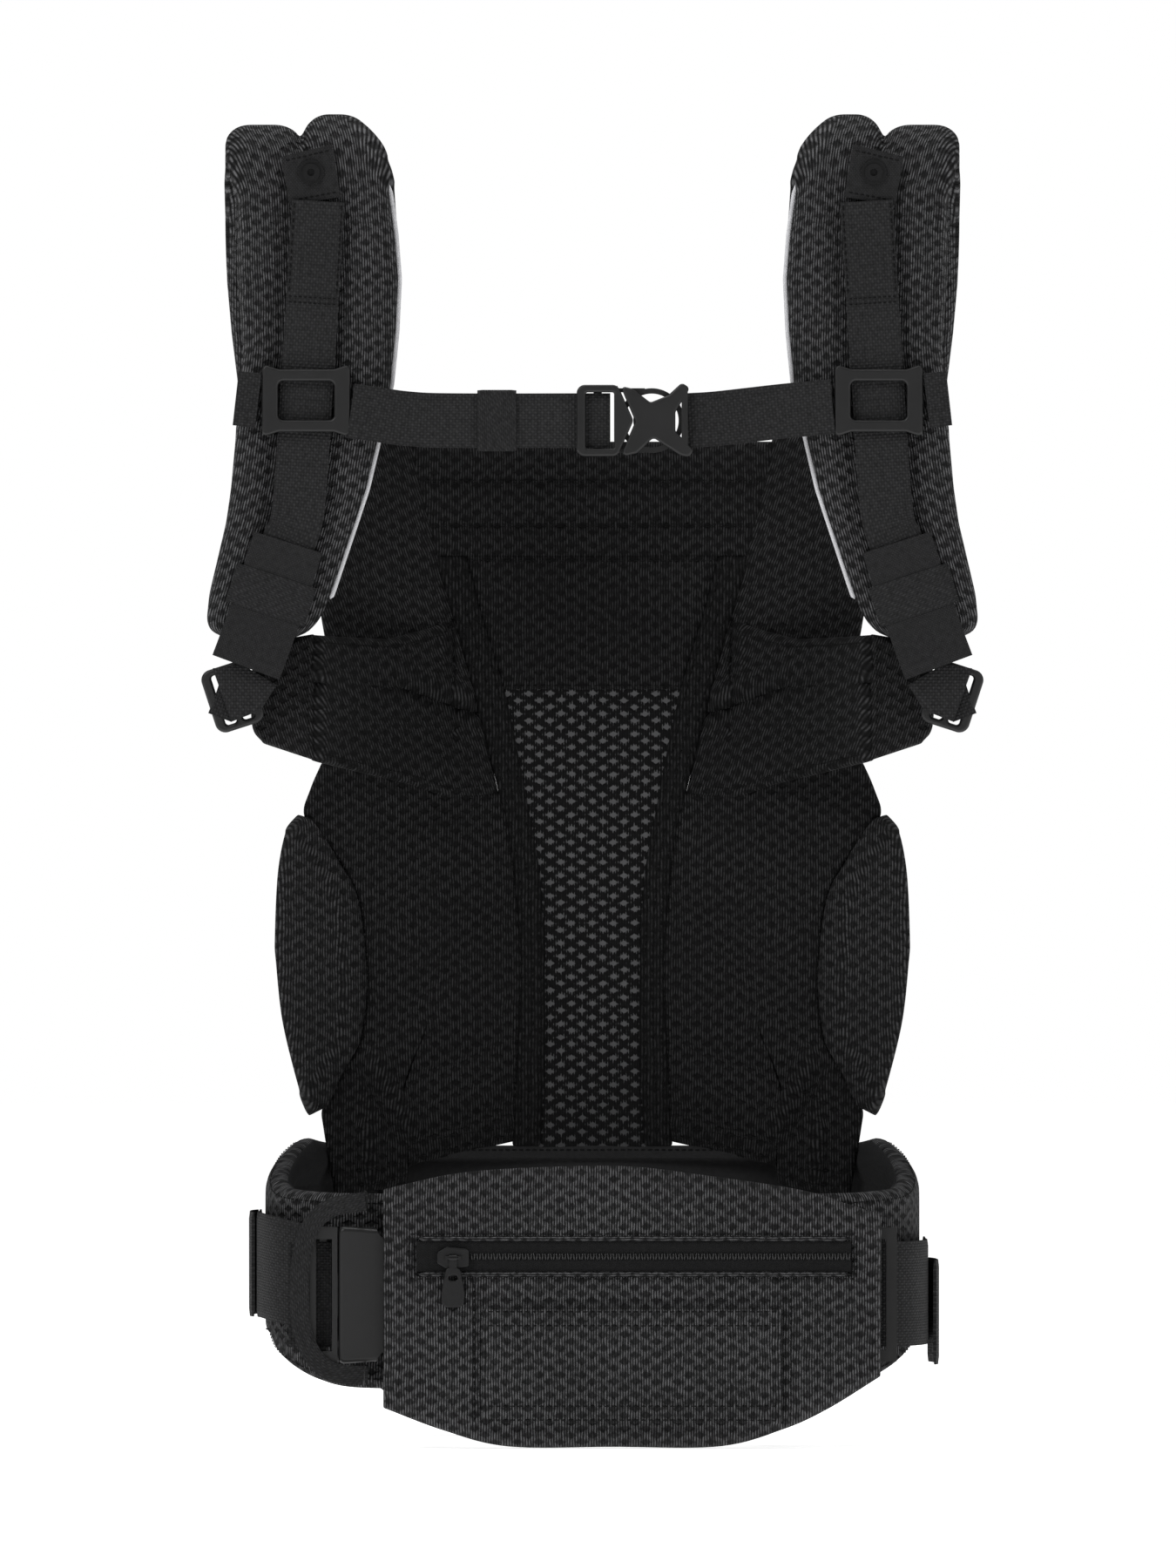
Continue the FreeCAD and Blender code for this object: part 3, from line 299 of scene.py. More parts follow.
@dataclass
class Pad:
    """A closed cloth piece: a middle surface with a thickness towards each of its faces."""

    name: str
    columns: int
    rows: int
    middle: Field
    front: Field
    back: Field
    flat: Optional[Field] = None
    piece: Optional[Piece] = None
    across: Array = field(default_factory=lambda: np.zeros(0))
    up: Array = field(default_factory=lambda: np.zeros(0))

    def normals(self) -> Array:
        """Directions out of the front face at every grid place."""
        step = 1e-3
        ends = [np.clip(self.across + side * step, 0, 1) for side in (1, -1)]
        along_u = self.middle(ends[0], self.up) - self.middle(ends[1], self.up)
        ends = [np.clip(self.up + side * step, 0, 1) for side in (1, -1)]
        along_v = self.middle(self.across, ends[0]) - self.middle(self.across, ends[1])
        result = np.cross(along_u, along_v)
        return result / np.maximum(np.linalg.norm(result, axis=1), 1e-12)[:, None]

    def build(self) -> "Pad":
        """Make the closed mesh from a grid, and store its cloth coordinates."""
        piece = new_grid(self.name, self.columns, self.rows)
        flat_spots = spots_of(piece)
        self.across = flat_spots[:, 0] + 0.5
        self.up = flat_spots[:, 1] + 0.5
        apply(piece, "SOLIDIFY", thickness=0.01, offset=0.0)
        middle = self.middle(self.across, self.up)
        normal = self.normals()
        fore = middle + normal * self.front(self.across, self.up)[:, None]
        rear = middle - normal * self.back(self.across, self.up)[:, None]
        move_spots(piece, np.vstack([fore, rear]))
        flat = self.flat(self.across, self.up) if self.flat else middle[:, [0, 2]]
        lay_cloth(piece, np.vstack([flat, flat]))
        outward(piece)
        self.piece = piece
        return self

    def inflate(self, held: Field, pressure: float = 4.0, cap: float = 6 * MM, steps: int = 20) -> "Pad":
        """Blow the pad up as cloth round its held seams.

        Args:
            held: a function that is 1 where a seam holds the cloth.
            pressure: how hard the filling pushes.
            cap: the furthest that a place may move.
            steps: how many steps the cloth takes.

        Returns:
            The same pad.
        """
        piece = self.piece
        start = spots_of(piece)
        weights = np.tile(held(self.across, self.up), 2)
        group = piece.vertex_groups.new(name="seam")
        for index in np.nonzero(weights > 0.5)[0]:
            group.add([int(index)], 1.0, "REPLACE")
        only(piece)
        modifier = piece.modifiers.new("cloth", "CLOTH")
        modifier.settings.quality = 4
        modifier.settings.mass = 0.2
        modifier.settings.use_pressure = True
        modifier.settings.uniform_pressure_force = pressure
        modifier.settings.vertex_group_mass = group.name
        modifier.settings.effector_weights.gravity = 0.0
        for step in range(1, steps + 1):
            bpy.context.scene.frame_set(step)
        blown = np.empty(len(start) * 3)
        shown = piece.evaluated_get(bpy.context.evaluated_depsgraph_get())
        shown.data.vertices.foreach_get("co", blown)
        piece.modifiers.remove(modifier)
        piece.vertex_groups.remove(group)
        bpy.context.scene.frame_set(1)
        moved = blown.reshape(-1, 3) - start
        reach = np.linalg.norm(moved, axis=1)
        moved *= np.minimum(1.0, cap / np.maximum(reach, 1e-9))[:, None]
        move_spots(piece, start + moved)
        return self

    def line_back(self) -> None:
        """Mark the back face's cloth for the piece's second material."""
        count = len(self.across)
        for face in self.piece.data.polygons:
            face.material_index = int(min(face.vertices) >= count)

    def finish(self, levels: int = 1) -> Piece:
        """Refine the finished pad and shade it smooth."""
        self.fore = spots_of(self.piece)[:len(self.across)]
        if levels:
            apply(self.piece, "SUBSURF", levels=levels, render_levels=levels)
        smooth(self.piece, 60.0)
        return self.piece

    def surface(self, across: Array, up: Array) -> Array:
        """Places on the front face, after any inflating, at shares across and up."""
        grid = self.fore.reshape(self.rows + 1, self.columns + 1, 3)
        x, y = np.clip(across, 0, 1) * self.columns, np.clip(up, 0, 1) * self.rows
        column, row = np.minimum(x.astype(int), self.columns - 1), np.minimum(y.astype(int), self.rows - 1)
        s, t = (x - column)[:, None], (y - row)[:, None]
        low = grid[row, column] * (1 - s) + grid[row, column + 1] * s
        high = grid[row + 1, column] * (1 - s) + grid[row + 1, column + 1] * s
        return low * (1 - t) + high * t

    def seam(self, name: str, route: Sequence[Spot], pitch: float = 3.2 * MM,
             lift: float = 0.25 * MM) -> Piece:
        """Sew a row of stitches into the front face.

        Args:
            name: the row's name.
            route: shares across and up of the points that it passes.
            pitch: from one stitch to the next.
            lift: how far the thread stands proud.

        Returns:
            The stitches as one piece.
        """
        shares = np.linspace(0, 1, 400)
        track = along(np.array(route, dtype=float), shares)
        line = self.surface(track[:, 0], track[:, 1])
        across, up = track.T
        near = 0.004
        towards = self.surface(across + near, up) - self.surface(across - near, up)
        upwards = self.surface(across, up + near) - self.surface(across, up - near)
        normal = np.cross(towards, upwards)
        normal /= np.maximum(np.linalg.norm(normal, axis=1), 1e-12)[:, None]
        return stitches(name, line + normal * lift, normal, pitch)


def capsules(name: str, start: Array, end: Array, out: Array, radius: float) -> Piece:
    """Make one piece of many small rounded threads or teeth.

    Args:
        name: the piece's name.
        start: where each begins.
        end: where each ends.
        out: the direction out of the cloth at each.
        radius: how thick each is.

    Returns:
        All of them as one piece.
    """
    side = np.cross(end - start, out)
    side /= np.maximum(np.linalg.norm(side, axis=1), 1e-12)[:, None]
    ring = [(1.0, 0.0), (0.5, 0.9), (-0.5, 0.9), (-1.0, 0.0), (-0.5, -0.9), (0.5, -0.9)]
    spots, faces = [], []
    for index in range(len(start)):
        base = len(spots)
        centre = (start[index] + end[index]) / 2
        for place, dip, full in ((start[index], -0.5, 0.7), (centre, 0.4, 1.0), (end[index], -0.5, 0.7)):
            for a, b in ring:
                offset = side[index] * a * full + out[index] * (b * 0.8 * full + dip)
                spots.append(place + offset * radius)
        for low in (0, 6):
            faces += [tuple(base + low + k for k in (j, (j + 1) % 6, (j + 1) % 6 + 6, j + 6))
                      for j in range(6)]
        faces.append(tuple(base + k for k in range(5, -1, -1)))
        faces.append(tuple(base + 12 + k for k in range(6)))
    mesh = bpy.data.meshes.new(name)
    mesh.from_pydata([tuple(spot) for spot in spots], [], faces)
    piece = bpy.data.objects.new(name, mesh)
    bpy.context.collection.objects.link(piece)
    outward(piece)
    smooth(piece, 80.0)
    return piece


def stitches(name: str, line: Array, normal: Array, pitch: float, share: float = 0.62) -> Piece:
    """Lay one low-poly stitch again and again along a line.

    Args:
        name: the piece's name.
        line: the thread's line.
        normal: the direction out of the cloth at each of its points.
        pitch: from one stitch to the next.
        share: how much of the pitch a stitch covers.

    Returns:
        All the stitches as one piece.
    """
    count = max(2, int(length_of(line) / pitch))
    middles = (np.arange(count) + 0.5) / count
    reach = 0.5 * share / count
    shares = np.linspace(0, 1, len(normal))
    out = np.stack([np.interp(middles, shares, normal[:, axis]) for axis in range(3)], axis=1)
    return capsules(name, along(line, middles - reach), along(line, middles + reach), out, 0.32 * MM)


def tube(name: str, line: Array, radius: float, sides: int = 10) -> Piece:
    """Make a round cord with rounded ends along a line.

    Args:
        name: its name.
        line: its centre line.
        radius: how thick it is.
        sides: how many faces go round it.

    Returns:
        The closed piece.
    """
    steps = len(line) - 1
    piece = new_grid(name, sides, steps)
    flat = spots_of(piece) + 0.5
    share, turn = flat[:, 1], flat[:, 0] * 2 * math.pi
    total = length_of(line)
    centre = along(line, share)
    ahead = along(line, np.clip(share + 0.005, 0, 1)) - along(line, np.clip(share - 0.005, 0, 1))
    ahead /= np.linalg.norm(ahead, axis=1)[:, None]
    side = np.cross(ahead, np.tile([0.0, -1.0, 0.0], (len(ahead), 1)) + ahead * 0.01 + [0.001, 0, 0])
    side /= np.maximum(np.linalg.norm(side, axis=1), 1e-9)[:, None]
    out = np.cross(side, ahead)
    full = radius * np.maximum(rounding(np.minimum(share, 1 - share) * total, radius), 0.02)
    move_spots(piece, centre + (side * np.cos(turn)[:, None] + out * np.sin(turn)[:, None]) * full[:, None])
    lay_cloth(piece, np.stack([flat[:, 0] * 2 * math.pi * radius, share * total], axis=1))
    edit(piece, lambda: bpy.ops.mesh.remove_doubles(threshold=radius * 0.03),
         lambda: bpy.ops.mesh.fill_holes(sides=sides * 2))
    outward(piece)
    smooth(piece, 60.0)
    return piece


# ------------------------------------------------------------------ shader groups

class Wiring:
    """A short way to write shader nodes and their links."""

    def __init__(self, tree: bpy.types.NodeTree) -> None:
        """Keep the tree that nodes are added to."""
        self.tree = tree

    def add(self, kind: str, **settings: object) -> bpy.types.Node:
        """Add a node and set its properties.

        Args:
            kind: the node's type.
            settings: its properties.

        Returns:
            The node.
        """
        node = self.tree.nodes.new(kind)
        for key, value in settings.items():
            setattr(node, key, value)
        return node

    def feed(self, socket: bpy.types.NodeSocket, value: object) -> None:
        """Link an output to a socket, or set the socket's own value."""
        if isinstance(value, bpy.types.NodeSocket):
            self.tree.links.new(value, socket)
        else:
            socket.default_value = value

    def sum(self, operation: str, *values: object) -> bpy.types.NodeSocket:
        """Work one sum out of sockets and numbers.

        Args:
            operation: the Math node's operation.
            values: its inputs.

        Returns:
            The result's socket.
        """
        node = self.add("ShaderNodeMath", operation=operation)
        for socket, value in zip(node.inputs, values):
            self.feed(socket, value)
        return node.outputs[0]

    def ramp(self, value: object, low: float, high: float) -> bpy.types.NodeSocket:
        """A soft step from 0 at low to 1 at high."""
        node = self.add("ShaderNodeMapRange", interpolation_type="SMOOTHSTEP")
        self.feed(node.inputs["Value"], value)
        node.inputs["From Min"].default_value = low
        node.inputs["From Max"].default_value = high
        return node.outputs["Result"]

    def mix(self, share: object, first: object, second: object) -> bpy.types.NodeSocket:
        """Blend two colours."""
        node = self.add("ShaderNodeMix", data_type="RGBA")
        self.feed(node.inputs[0], share)
        self.feed(node.inputs[6], first)
        self.feed(node.inputs[7], second)
        return node.outputs[2]


def new_group(name: str, inputs: Sequence[tuple[str, str, float]],
              outputs: Sequence[str]) -> bpy.types.NodeTree:
    """Start a shader node group.

    Args:
        name: the group's name.
        inputs: name, socket type and starting value of each input.
        outputs: names of its number outputs.

    Returns:
        The group's tree.
    """
    tree = bpy.data.node_groups.new(name, "ShaderNodeTree")
    for label, kind, value in inputs:
        socket = tree.interface.new_socket(name=label, in_out="INPUT", socket_type=kind)
        if kind == "NodeSocketFloat":
            socket.default_value = value
    for label in outputs:
        tree.interface.new_socket(name=label, in_out="OUTPUT", socket_type="NodeSocketFloat")
    return tree


def wave(wires: Wiring, value: object, pitch: object) -> bpy.types.NodeSocket:
    """Cosine of a coordinate over a pitch."""
    turns = wires.sum("DIVIDE", value, pitch)
    return wires.sum("COSINE", wires.sum("MULTIPLY", turns, 2 * math.pi))


def knit_group() -> bpy.types.NodeTree:
    """Air-mesh knit: fine upright streaks of thread with staggered diamond dimples; the streaks carry painted
    sheen and the dimples painted shade.
    """
    tree = new_group("knit_cells", [("Vector", "NodeSocketVector", 0.0), ("Across", "NodeSocketFloat", 0.01),
                                    ("Up", "NodeSocketFloat", 0.0064), ("Rib", "NodeSocketFloat", 0.0012),
                                    ("Slant", "NodeSocketFloat", 0.0)],
                     ["Height", "ThreadSheenAndShade", "Centre"])
    wires = Wiring(tree)
    source = wires.add("NodeGroupInput")
    result = wires.add("NodeGroupOutput")
    warp = wires.add("ShaderNodeTexNoise")
    wires.feed(warp.inputs["Vector"], source.outputs["Vector"])
    warp.inputs["Scale"].default_value = 55.0
    warp.inputs["Detail"].default_value = 2.0
    split = wires.add("ShaderNodeSeparateXYZ")
    wires.feed(split.inputs[0], source.outputs["Vector"])
    stray = wires.sum("MULTIPLY", wires.sum("SUBTRACT", warp.outputs["Fac"], 0.5), 0.0014)
    across = wires.sum("ADD", split.outputs[0], stray)
    up = wires.sum("ADD", split.outputs[1], stray)
    folds = []
    for value, pitch in ((across, "Across"), (up, "Up")):
        cells = wires.sum("DIVIDE", wires.sum("MULTIPLY", value, 2.0), source.outputs[pitch])
        folds.append(wires.sum("PINGPONG", cells, 1.0))
    centre = wires.sum("ABSOLUTE", wires.sum("SUBTRACT", wires.sum("ADD", *folds), 1.0))
    dimple = wires.ramp(centre, 0.26, 0.68)
    leaning = wires.sum("ADD", across, wires.sum("MULTIPLY", up, source.outputs["Slant"]))
    ribs = wires.sum("MULTIPLY_ADD", wave(wires, leaning, source.outputs["Rib"]), 0.5, 0.5)
    stretch = wires.add("ShaderNodeVectorMath", operation="MULTIPLY")
    wires.feed(stretch.inputs[0], source.outputs["Vector"])
    stretch.inputs[1].default_value = (1.0, 0.3, 1.0)
    streaks = wires.add("ShaderNodeTexNoise")
    wires.feed(streaks.inputs["Vector"], stretch.outputs[0])
    streaks.inputs["Scale"].default_value = 900.0
    streaks.inputs["Detail"].default_value = 1.0
    broken = wires.ramp(streaks.outputs["Fac"], 0.32, 0.72)
    uneven = wires.sum("MULTIPLY_ADD", broken, 1.1, 0.25)
    # rib pattern of the knit, brightened as painted sheen on the yarns
    thread = wires.sum("MULTIPLY", wires.sum("POWER", ribs, 1.4), uneven)
    # painted shade: the dimples darkened where they sink in
    dimple_painted_shade = wires.sum("MULTIPLY_ADD", dimple, -0.80, 1.0)
    shown = wires.sum("MULTIPLY", thread, dimple_painted_shade)
    wires.feed(result.inputs["Height"], wires.sum("SUBTRACT", wires.sum("MULTIPLY", shown, 0.4), dimple))
    wires.feed(result.inputs["ThreadSheenAndShade"], shown)
    wires.feed(result.inputs["Centre"], centre)
    return tree


def weave_group() -> bpy.types.NodeTree:
    """Flat weave: crossing yarns with an adjustable slant, with painted light on the raised yarns and painted
    shade between them.
    """
    tree = new_group("yarn_weave", [("Vector", "NodeSocketVector", 0.0), ("Yarn", "NodeSocketFloat", 0.0011),
                                    ("Pick", "NodeSocketFloat", 0.0016), ("Slant", "NodeSocketFloat", 0.0)],
                     ["Height", "Shade"])
    wires = Wiring(tree)
    source = wires.add("NodeGroupInput")
    result = wires.add("NodeGroupOutput")
    split = wires.add("ShaderNodeSeparateXYZ")
    wires.feed(split.inputs[0], source.outputs["Vector"])
    across, up = split.outputs[0], split.outputs[1]
    leaning = wires.sum("ADD", up, wires.sum("MULTIPLY", across, source.outputs["Slant"]))
    yarn = wave(wires, across, source.outputs["Yarn"])
    pick = wave(wires, leaning, source.outputs["Pick"])
    checks = wires.sum("MULTIPLY", wave(wires, across, wires.sum("MULTIPLY", source.outputs["Yarn"], 2.0)),
                       wave(wires, leaning, wires.sum("MULTIPLY", source.outputs["Pick"], 2.0)))
    noise = wires.add("ShaderNodeTexNoise")
    wires.feed(noise.inputs["Vector"], source.outputs["Vector"])
    noise.inputs["Scale"].default_value = 420.0
    height = wires.sum("ADD", wires.sum("MULTIPLY", wires.sum("ADD", yarn, pick), 0.25),
                       wires.sum("MULTIPLY", checks, 0.5))
    wires.feed(result.inputs["Height"], height)
    # painted light and shade: the tone follows the weave's height, times random noise
    shade = wires.sum("MULTIPLY", wires.sum("ADD", height, 1.0), noise.outputs["Fac"])
    wires.feed(result.inputs["Shade"], shade)
    return tree


def wear_group() -> bpy.types.NodeTree:
    """Slow patches of lighter and darker cloth or plastic, and fine grain."""
    tree = new_group("soft_wear", [("Vector", "NodeSocketVector", 0.0), ("Patch", "NodeSocketFloat", 14.0),
                                   ("Grain", "NodeSocketFloat", 1400.0)], ["Patches", "Grain"])
    wires = Wiring(tree)
    source = wires.add("NodeGroupInput")
    result = wires.add("NodeGroupOutput")
    for scale, label in (("Patch", "Patches"), ("Grain", "Grain")):
        noise = wires.add("ShaderNodeTexNoise")
        wires.feed(noise.inputs["Vector"], source.outputs["Vector"])
        wires.feed(noise.inputs["Scale"], source.outputs[scale])
        noise.inputs["Detail"].default_value = 3.0
        wires.feed(result.inputs[label], noise.outputs["Fac"])
    return tree


GROUPS = {"knit": knit_group(), "weave": weave_group(), "wear": wear_group()}


# ------------------------------------------------------------------ finishes

@dataclass(frozen=True)
class Finish:
    """What every finish has: a name, a dark and a light tone, and how rough it is."""

    name: str
    dark: float
    light: float
    roughness: float = 0.85
    cloth: Cloth = Cloth.SURFACE
    specular: float = 0.12

    def start(self) -> tuple[Wiring, bpy.types.Node, bpy.types.NodeSocket, bpy.types.Material]:
        """Make the material, its shader and the coordinates that its pattern reads."""
        material = bpy.data.materials.new(self.name)
        material.use_nodes = True
        wires = Wiring(material.node_tree)
        shader = material.node_tree.nodes["Principled BSDF"]
        shader.inputs["Roughness"].default_value = self.roughness
        shader.inputs["Specular IOR Level"].default_value = self.specular
        if self.cloth is Cloth.SURFACE:
            source = wires.add("ShaderNodeUVMap", uv_map="cloth").outputs[0]
        else:
            source = wires.add("ShaderNodeTexCoord").outputs["Object"]
        return wires, shader, source, material

    def tone(self, level: float) -> tuple[float, float, float, float]:
        """A neutral colour of one level."""
        return (level, level, level * 1.03, 1.0)

    def call(self, wires: Wiring, key: str, source: bpy.types.NodeSocket, **values: float) -> bpy.types.Node:
        """Place one of the shared groups with this finish's values."""
        node = wires.add("ShaderNodeGroup", node_tree=GROUPS[key])
        wires.feed(node.inputs["Vector"], source)
        for label, value in values.items():
            node.inputs[label].default_value = value
        return node

    def bump(self, wires: Wiring, shader: bpy.types.Node, height: object, distance: float) -> None:
        """Raise the surface by a height field."""
        node = wires.add("ShaderNodeBump")
        node.inputs["Strength"].default_value = 1.0
        node.inputs["Distance"].default_value = distance
        wires.feed(node.inputs["Height"], height)
        wires.feed(shader.inputs["Normal"], node.outputs[0])


@dataclass(frozen=True)
class KnitFinish(Finish):
    """Air-mesh knit with dimples, its colour holding painted sheen on the streaks and painted shade in the
    dimples.
    """

    across: float = 10.2 * MM
    up: float = 6.4 * MM
    rib: float = 1.25 * MM
    slant: float = 0.0
    depth: float = 0.9 * MM

    def make(self) -> bpy.types.Material:
        """Build the material."""
        wires, shader, source, material = self.start()
        knit = self.call(wires, "knit", source, Across=self.across, Up=self.up, Rib=self.rib,
                         Slant=self.slant)
        wear = self.call(wires, "wear", source)
        # colour share: the knit's painted sheen and dimple shade, varied by random patches
        shade = wires.sum("MULTIPLY", knit.outputs["ThreadSheenAndShade"], wires.sum("ADD", wear.outputs["Patches"], 0.5))
        wires.feed(shader.inputs["Base Color"], wires.mix(shade, self.tone(self.dark), self.tone(self.light)))
        self.bump(wires, shader, knit.outputs["Height"], self.depth)
        return material


@dataclass(frozen=True)
class WovenFinish(Finish):
    """Webbing, twill, tape or lining: a flat weave."""

    yarn: float = 1.1 * MM
    pick: float = 1.7 * MM
    slant: float = 0.0
    depth: float = 0.3 * MM

    def make(self) -> bpy.types.Material:
        """Build the material."""
        wires, shader, source, material = self.start()
        weave = self.call(wires, "weave", source, Yarn=self.yarn, Pick=self.pick, Slant=self.slant)
        wear = self.call(wires, "wear", source)
        # colour share: the weave's painted light and shade, varied by random patches
        shade = wires.sum("MULTIPLY", weave.outputs["Shade"], wires.sum("ADD", wear.outputs["Patches"], 0.5))
        wires.feed(shader.inputs["Base Color"], wires.mix(shade, self.tone(self.dark), self.tone(self.light)))
        self.bump(wires, shader, weave.outputs["Height"], self.depth)
        return material


@dataclass(frozen=True)
class OpenMeshFinish(Finish):
    """The open mesh of the panel's middle: leaf-shaped light spots between knitted ribs."""

    across: float = 10.2 * MM
    up: float = 6.5 * MM

    def make(self) -> bpy.types.Material:
        """Build the material."""
        wires, shader, source, material = self.start()
        knit = self.call(wires, "knit", source, Across=self.across, Up=self.up, Rib=1.25 * MM, Slant=0.0)
        edge = wires.sum("MULTIPLY_ADD", knit.outputs["ThreadSheenAndShade"], 0.35, knit.outputs["Centre"])
        spot = wires.ramp(edge, 0.50, 0.66)
        # rib tone taken from the knit's painted sheen and dimple shade
        yarn = wires.mix(knit.outputs["ThreadSheenAndShade"], self.tone(self.dark), self.tone(self.dark * 3.0))
        split = wires.add("ShaderNodeSeparateXYZ")
        wires.feed(split.inputs[0], source)
        fade = wires.ramp(split.outputs[1], 0.10, 0.22)
        strong = wires.sum("MULTIPLY", spot, wires.sum("ADD", wires.sum("MULTIPLY", fade, 0.5), 0.5))
        wires.feed(shader.inputs["Base Color"], wires.mix(strong, yarn, self.tone(self.light)))
        self.bump(wires, shader, knit.outputs["Height"], 0.5 * MM)
        return material


@dataclass(frozen=True)
class MouldedFinish(Finish):
    """Satin moulded plastic or coated metal, with fine grain and a trace of handling."""

    metal: float = 0.0

    def make(self) -> bpy.types.Material:
        """Build the material."""
        wires, shader, source, material = self.start()
        wear = self.call(wires, "wear", source, Patch=60.0, Grain=2600.0)
        shader.inputs["Metallic"].default_value = self.metal
        colour = wires.mix(wear.outputs["Patches"], self.tone(self.dark), self.tone(self.light))
        wires.feed(shader.inputs["Base Color"], colour)
        rough = wires.sum("MULTIPLY_ADD", wear.outputs["Patches"], 0.16, self.roughness - 0.08)
        wires.feed(shader.inputs["Roughness"], rough)
        self.bump(wires, shader, wear.outputs["Grain"], 0.04 * MM)
        return material


FINISHES = {
    "knit": KnitFinish("air_mesh_knit", 0.0025, 0.112),
    "pad_knit": KnitFinish("thigh_pad_knit", 0.0030, 0.052),
    "rib": KnitFinish("slanted_rib_knit", 0.0015, 0.034, slant=0.35, depth=0.7 * MM),
    "panel": KnitFinish("panel_knit", 0.0010, 0.031, depth=0.7 * MM),
    "band": KnitFinish("rail_knit", 0.0015, 0.020, rib=1.6 * MM, depth=0.25 * MM),
    "open_mesh": OpenMeshFinish("open_mesh", 0.0022, 0.070),
    "webbing": WovenFinish("webbing_weave", 0.0025, 0.027, 0.7, yarn=1.3 * MM, pick=1.5 * MM),
    "smooth_webbing": WovenFinish("smooth_webbing", 0.0045, 0.020, 0.65, yarn=0.7 * MM, pick=0.9 * MM,
                                  depth=0.12 * MM),
    "twill": WovenFinish("elastic_twill", 0.0030, 0.026, 0.75, yarn=1.0 * MM, pick=2.2 * MM, slant=0.9),
    "lining": WovenFinish("smooth_lining", 0.010, 0.020, 0.7, yarn=0.5 * MM, pick=0.5 * MM, depth=0.06 * MM),
    "tape": WovenFinish("zip_tape_weave", 0.0025, 0.009, 0.8, yarn=0.6 * MM, pick=0.8 * MM, depth=0.1 * MM),
    "thread": WovenFinish("sewing_thread", 0.0008, 0.003, 0.6, Cloth.SPACE, yarn=0.4 * MM, pick=0.5 * MM,
                          depth=0.08 * MM),
    "piping": WovenFinish("light_piping", 0.42, 0.66, 0.6, yarn=0.8 * MM, pick=0.8 * MM, depth=0.1 * MM),
    "foam": MouldedFinish("foam_core", 0.10, 0.16, 0.95, Cloth.SPACE),
    "plastic": MouldedFinish("satin_plastic", 0.004, 0.0065, 0.42, Cloth.SPACE, specular=0.35),
    "coil": MouldedFinish("zip_coil_plastic", 0.004, 0.009, 0.35, Cloth.SPACE, specular=0.4),
    "metal": MouldedFinish("coated_metal", 0.006, 0.010, 0.36, Cloth.SPACE, specular=0.4, metal=0.5),
}
MATERIALS = {key: finish.make() for key, finish in FINISHES.items()}


def dress(piece: Piece, finish: str) -> Piece:
    """Give a piece its first material, and keep any other."""
    if piece.data.materials:
        piece.data.materials[0] = MATERIALS[finish]
    else:
        piece.data.materials.append(MATERIALS[finish])
    return piece


def settle(piece: Piece, finish: str, body: str, slot: str, *nodes: str) -> Piece:
    """Dress a piece, make it ride and let it stand for its CAD nodes.

    Args:
        piece: the piece.
        finish: the key of its material.
        body: the body that it rides on.
        slot: not used.
        nodes: the CAD nodes that it replaces.

    Returns:
        The same piece.
    """
    dress(piece, finish)
    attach(piece, body)
    if nodes:
        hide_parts(*nodes)
    LOG.info("%s: %d faces", piece.name, len(piece.data.polygons))
    return piece


# ------------------------------------------------------------------ shared shapes

PANEL_RADIUS = 420 * MM
PANEL_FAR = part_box("mesh_window")[1][1] - 1.0 * MM
PANEL_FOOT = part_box("mesh_window")[0][2]
HEADREST_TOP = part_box("headrest")[1][2]
WEBBING_LEAN = 0.0608
CHEST_LEVEL = 498 * MM
WEBBING_X = -136.3 * MM


def panel_depth(x: Array) -> Array:
    """Depth of the curved panel's middle surface at a distance from the centre line."""
    return PANEL_FAR - PANEL_RADIUS + np.sqrt(PANEL_RADIUS ** 2 - x ** 2)


def webbing_centre(z: Array) -> Array:
    """Centre of the left shoulder webbing at a height."""
    return WEBBING_X + (z - CHEST_LEVEL) * WEBBING_LEAN


def on_panel(shape: Field, near: float = 0.0, folds: Optional[Field] = None) -> Field:
    """Lay a flat outline on the curved panel.

    Args:
        shape: shares to places across and up.
        near: how far in front of the middle surface it lies.
        folds: how far the cloth comes forward at each place.

    Returns:
        Shares to places in the carrier's frame.
    """
    def place(across: Array, up: Array) -> Array:
        """Places on the curved panel."""
        spots = shape(across, up)
        depth = panel_depth(spots[:, 0]) - near
        if folds:
            depth = depth - folds(spots[:, 0], spots[:, 1])
        return np.stack([spots[:, 0], depth, spots[:, 1]], axis=1)
    return place


def thickness(thin: float, full: float, crown: Field) -> Field:
    """Thickness in metres from a thin rim to a full middle, both given in millimetres."""
    def depth(across: Array, up: Array) -> Array:
        """Half thickness of the pad."""
        return (thin + (full - thin) * crown(across, up)) * MM
    return depth


def rim(across: Array, up: Array) -> Array:
    """1 on a grid's outer edge and 0 elsewhere."""
    edge = np.minimum(np.minimum(across, 1 - across), np.minimum(up, 1 - up))
    return (edge < 1e-4).astype(float)


def ridge(x: Array, z: Array, start: Spot, end: Spot, width: float, height: float) -> Array:
    """A soft cloth ridge, or a valley where the height is negative, between two places in millimetres.

    Args:
        x: places across.
        z: places up.
        start: one end of the ridge.
        end: its other end.
        width: half its width, in millimetres.
        height: its height, in millimetres.

    Returns:
        The height in metres at each place.
    """
    first, last = np.array(start) * MM, np.array(end) * MM
    span = last - first
    share = ((x - first[0]) * span[0] + (z - first[1]) * span[1]) / (span @ span)
    held = np.clip(share, 0, 1)
    gap = np.hypot(x - first[0] - held * span[0], z - first[1] - held * span[1])
    fade = np.clip(np.minimum(share + 0.25, 1.25 - share) / 0.35, 0, 1)
    return height * MM * np.exp(-(gap / (width * MM)) ** 2) * fade


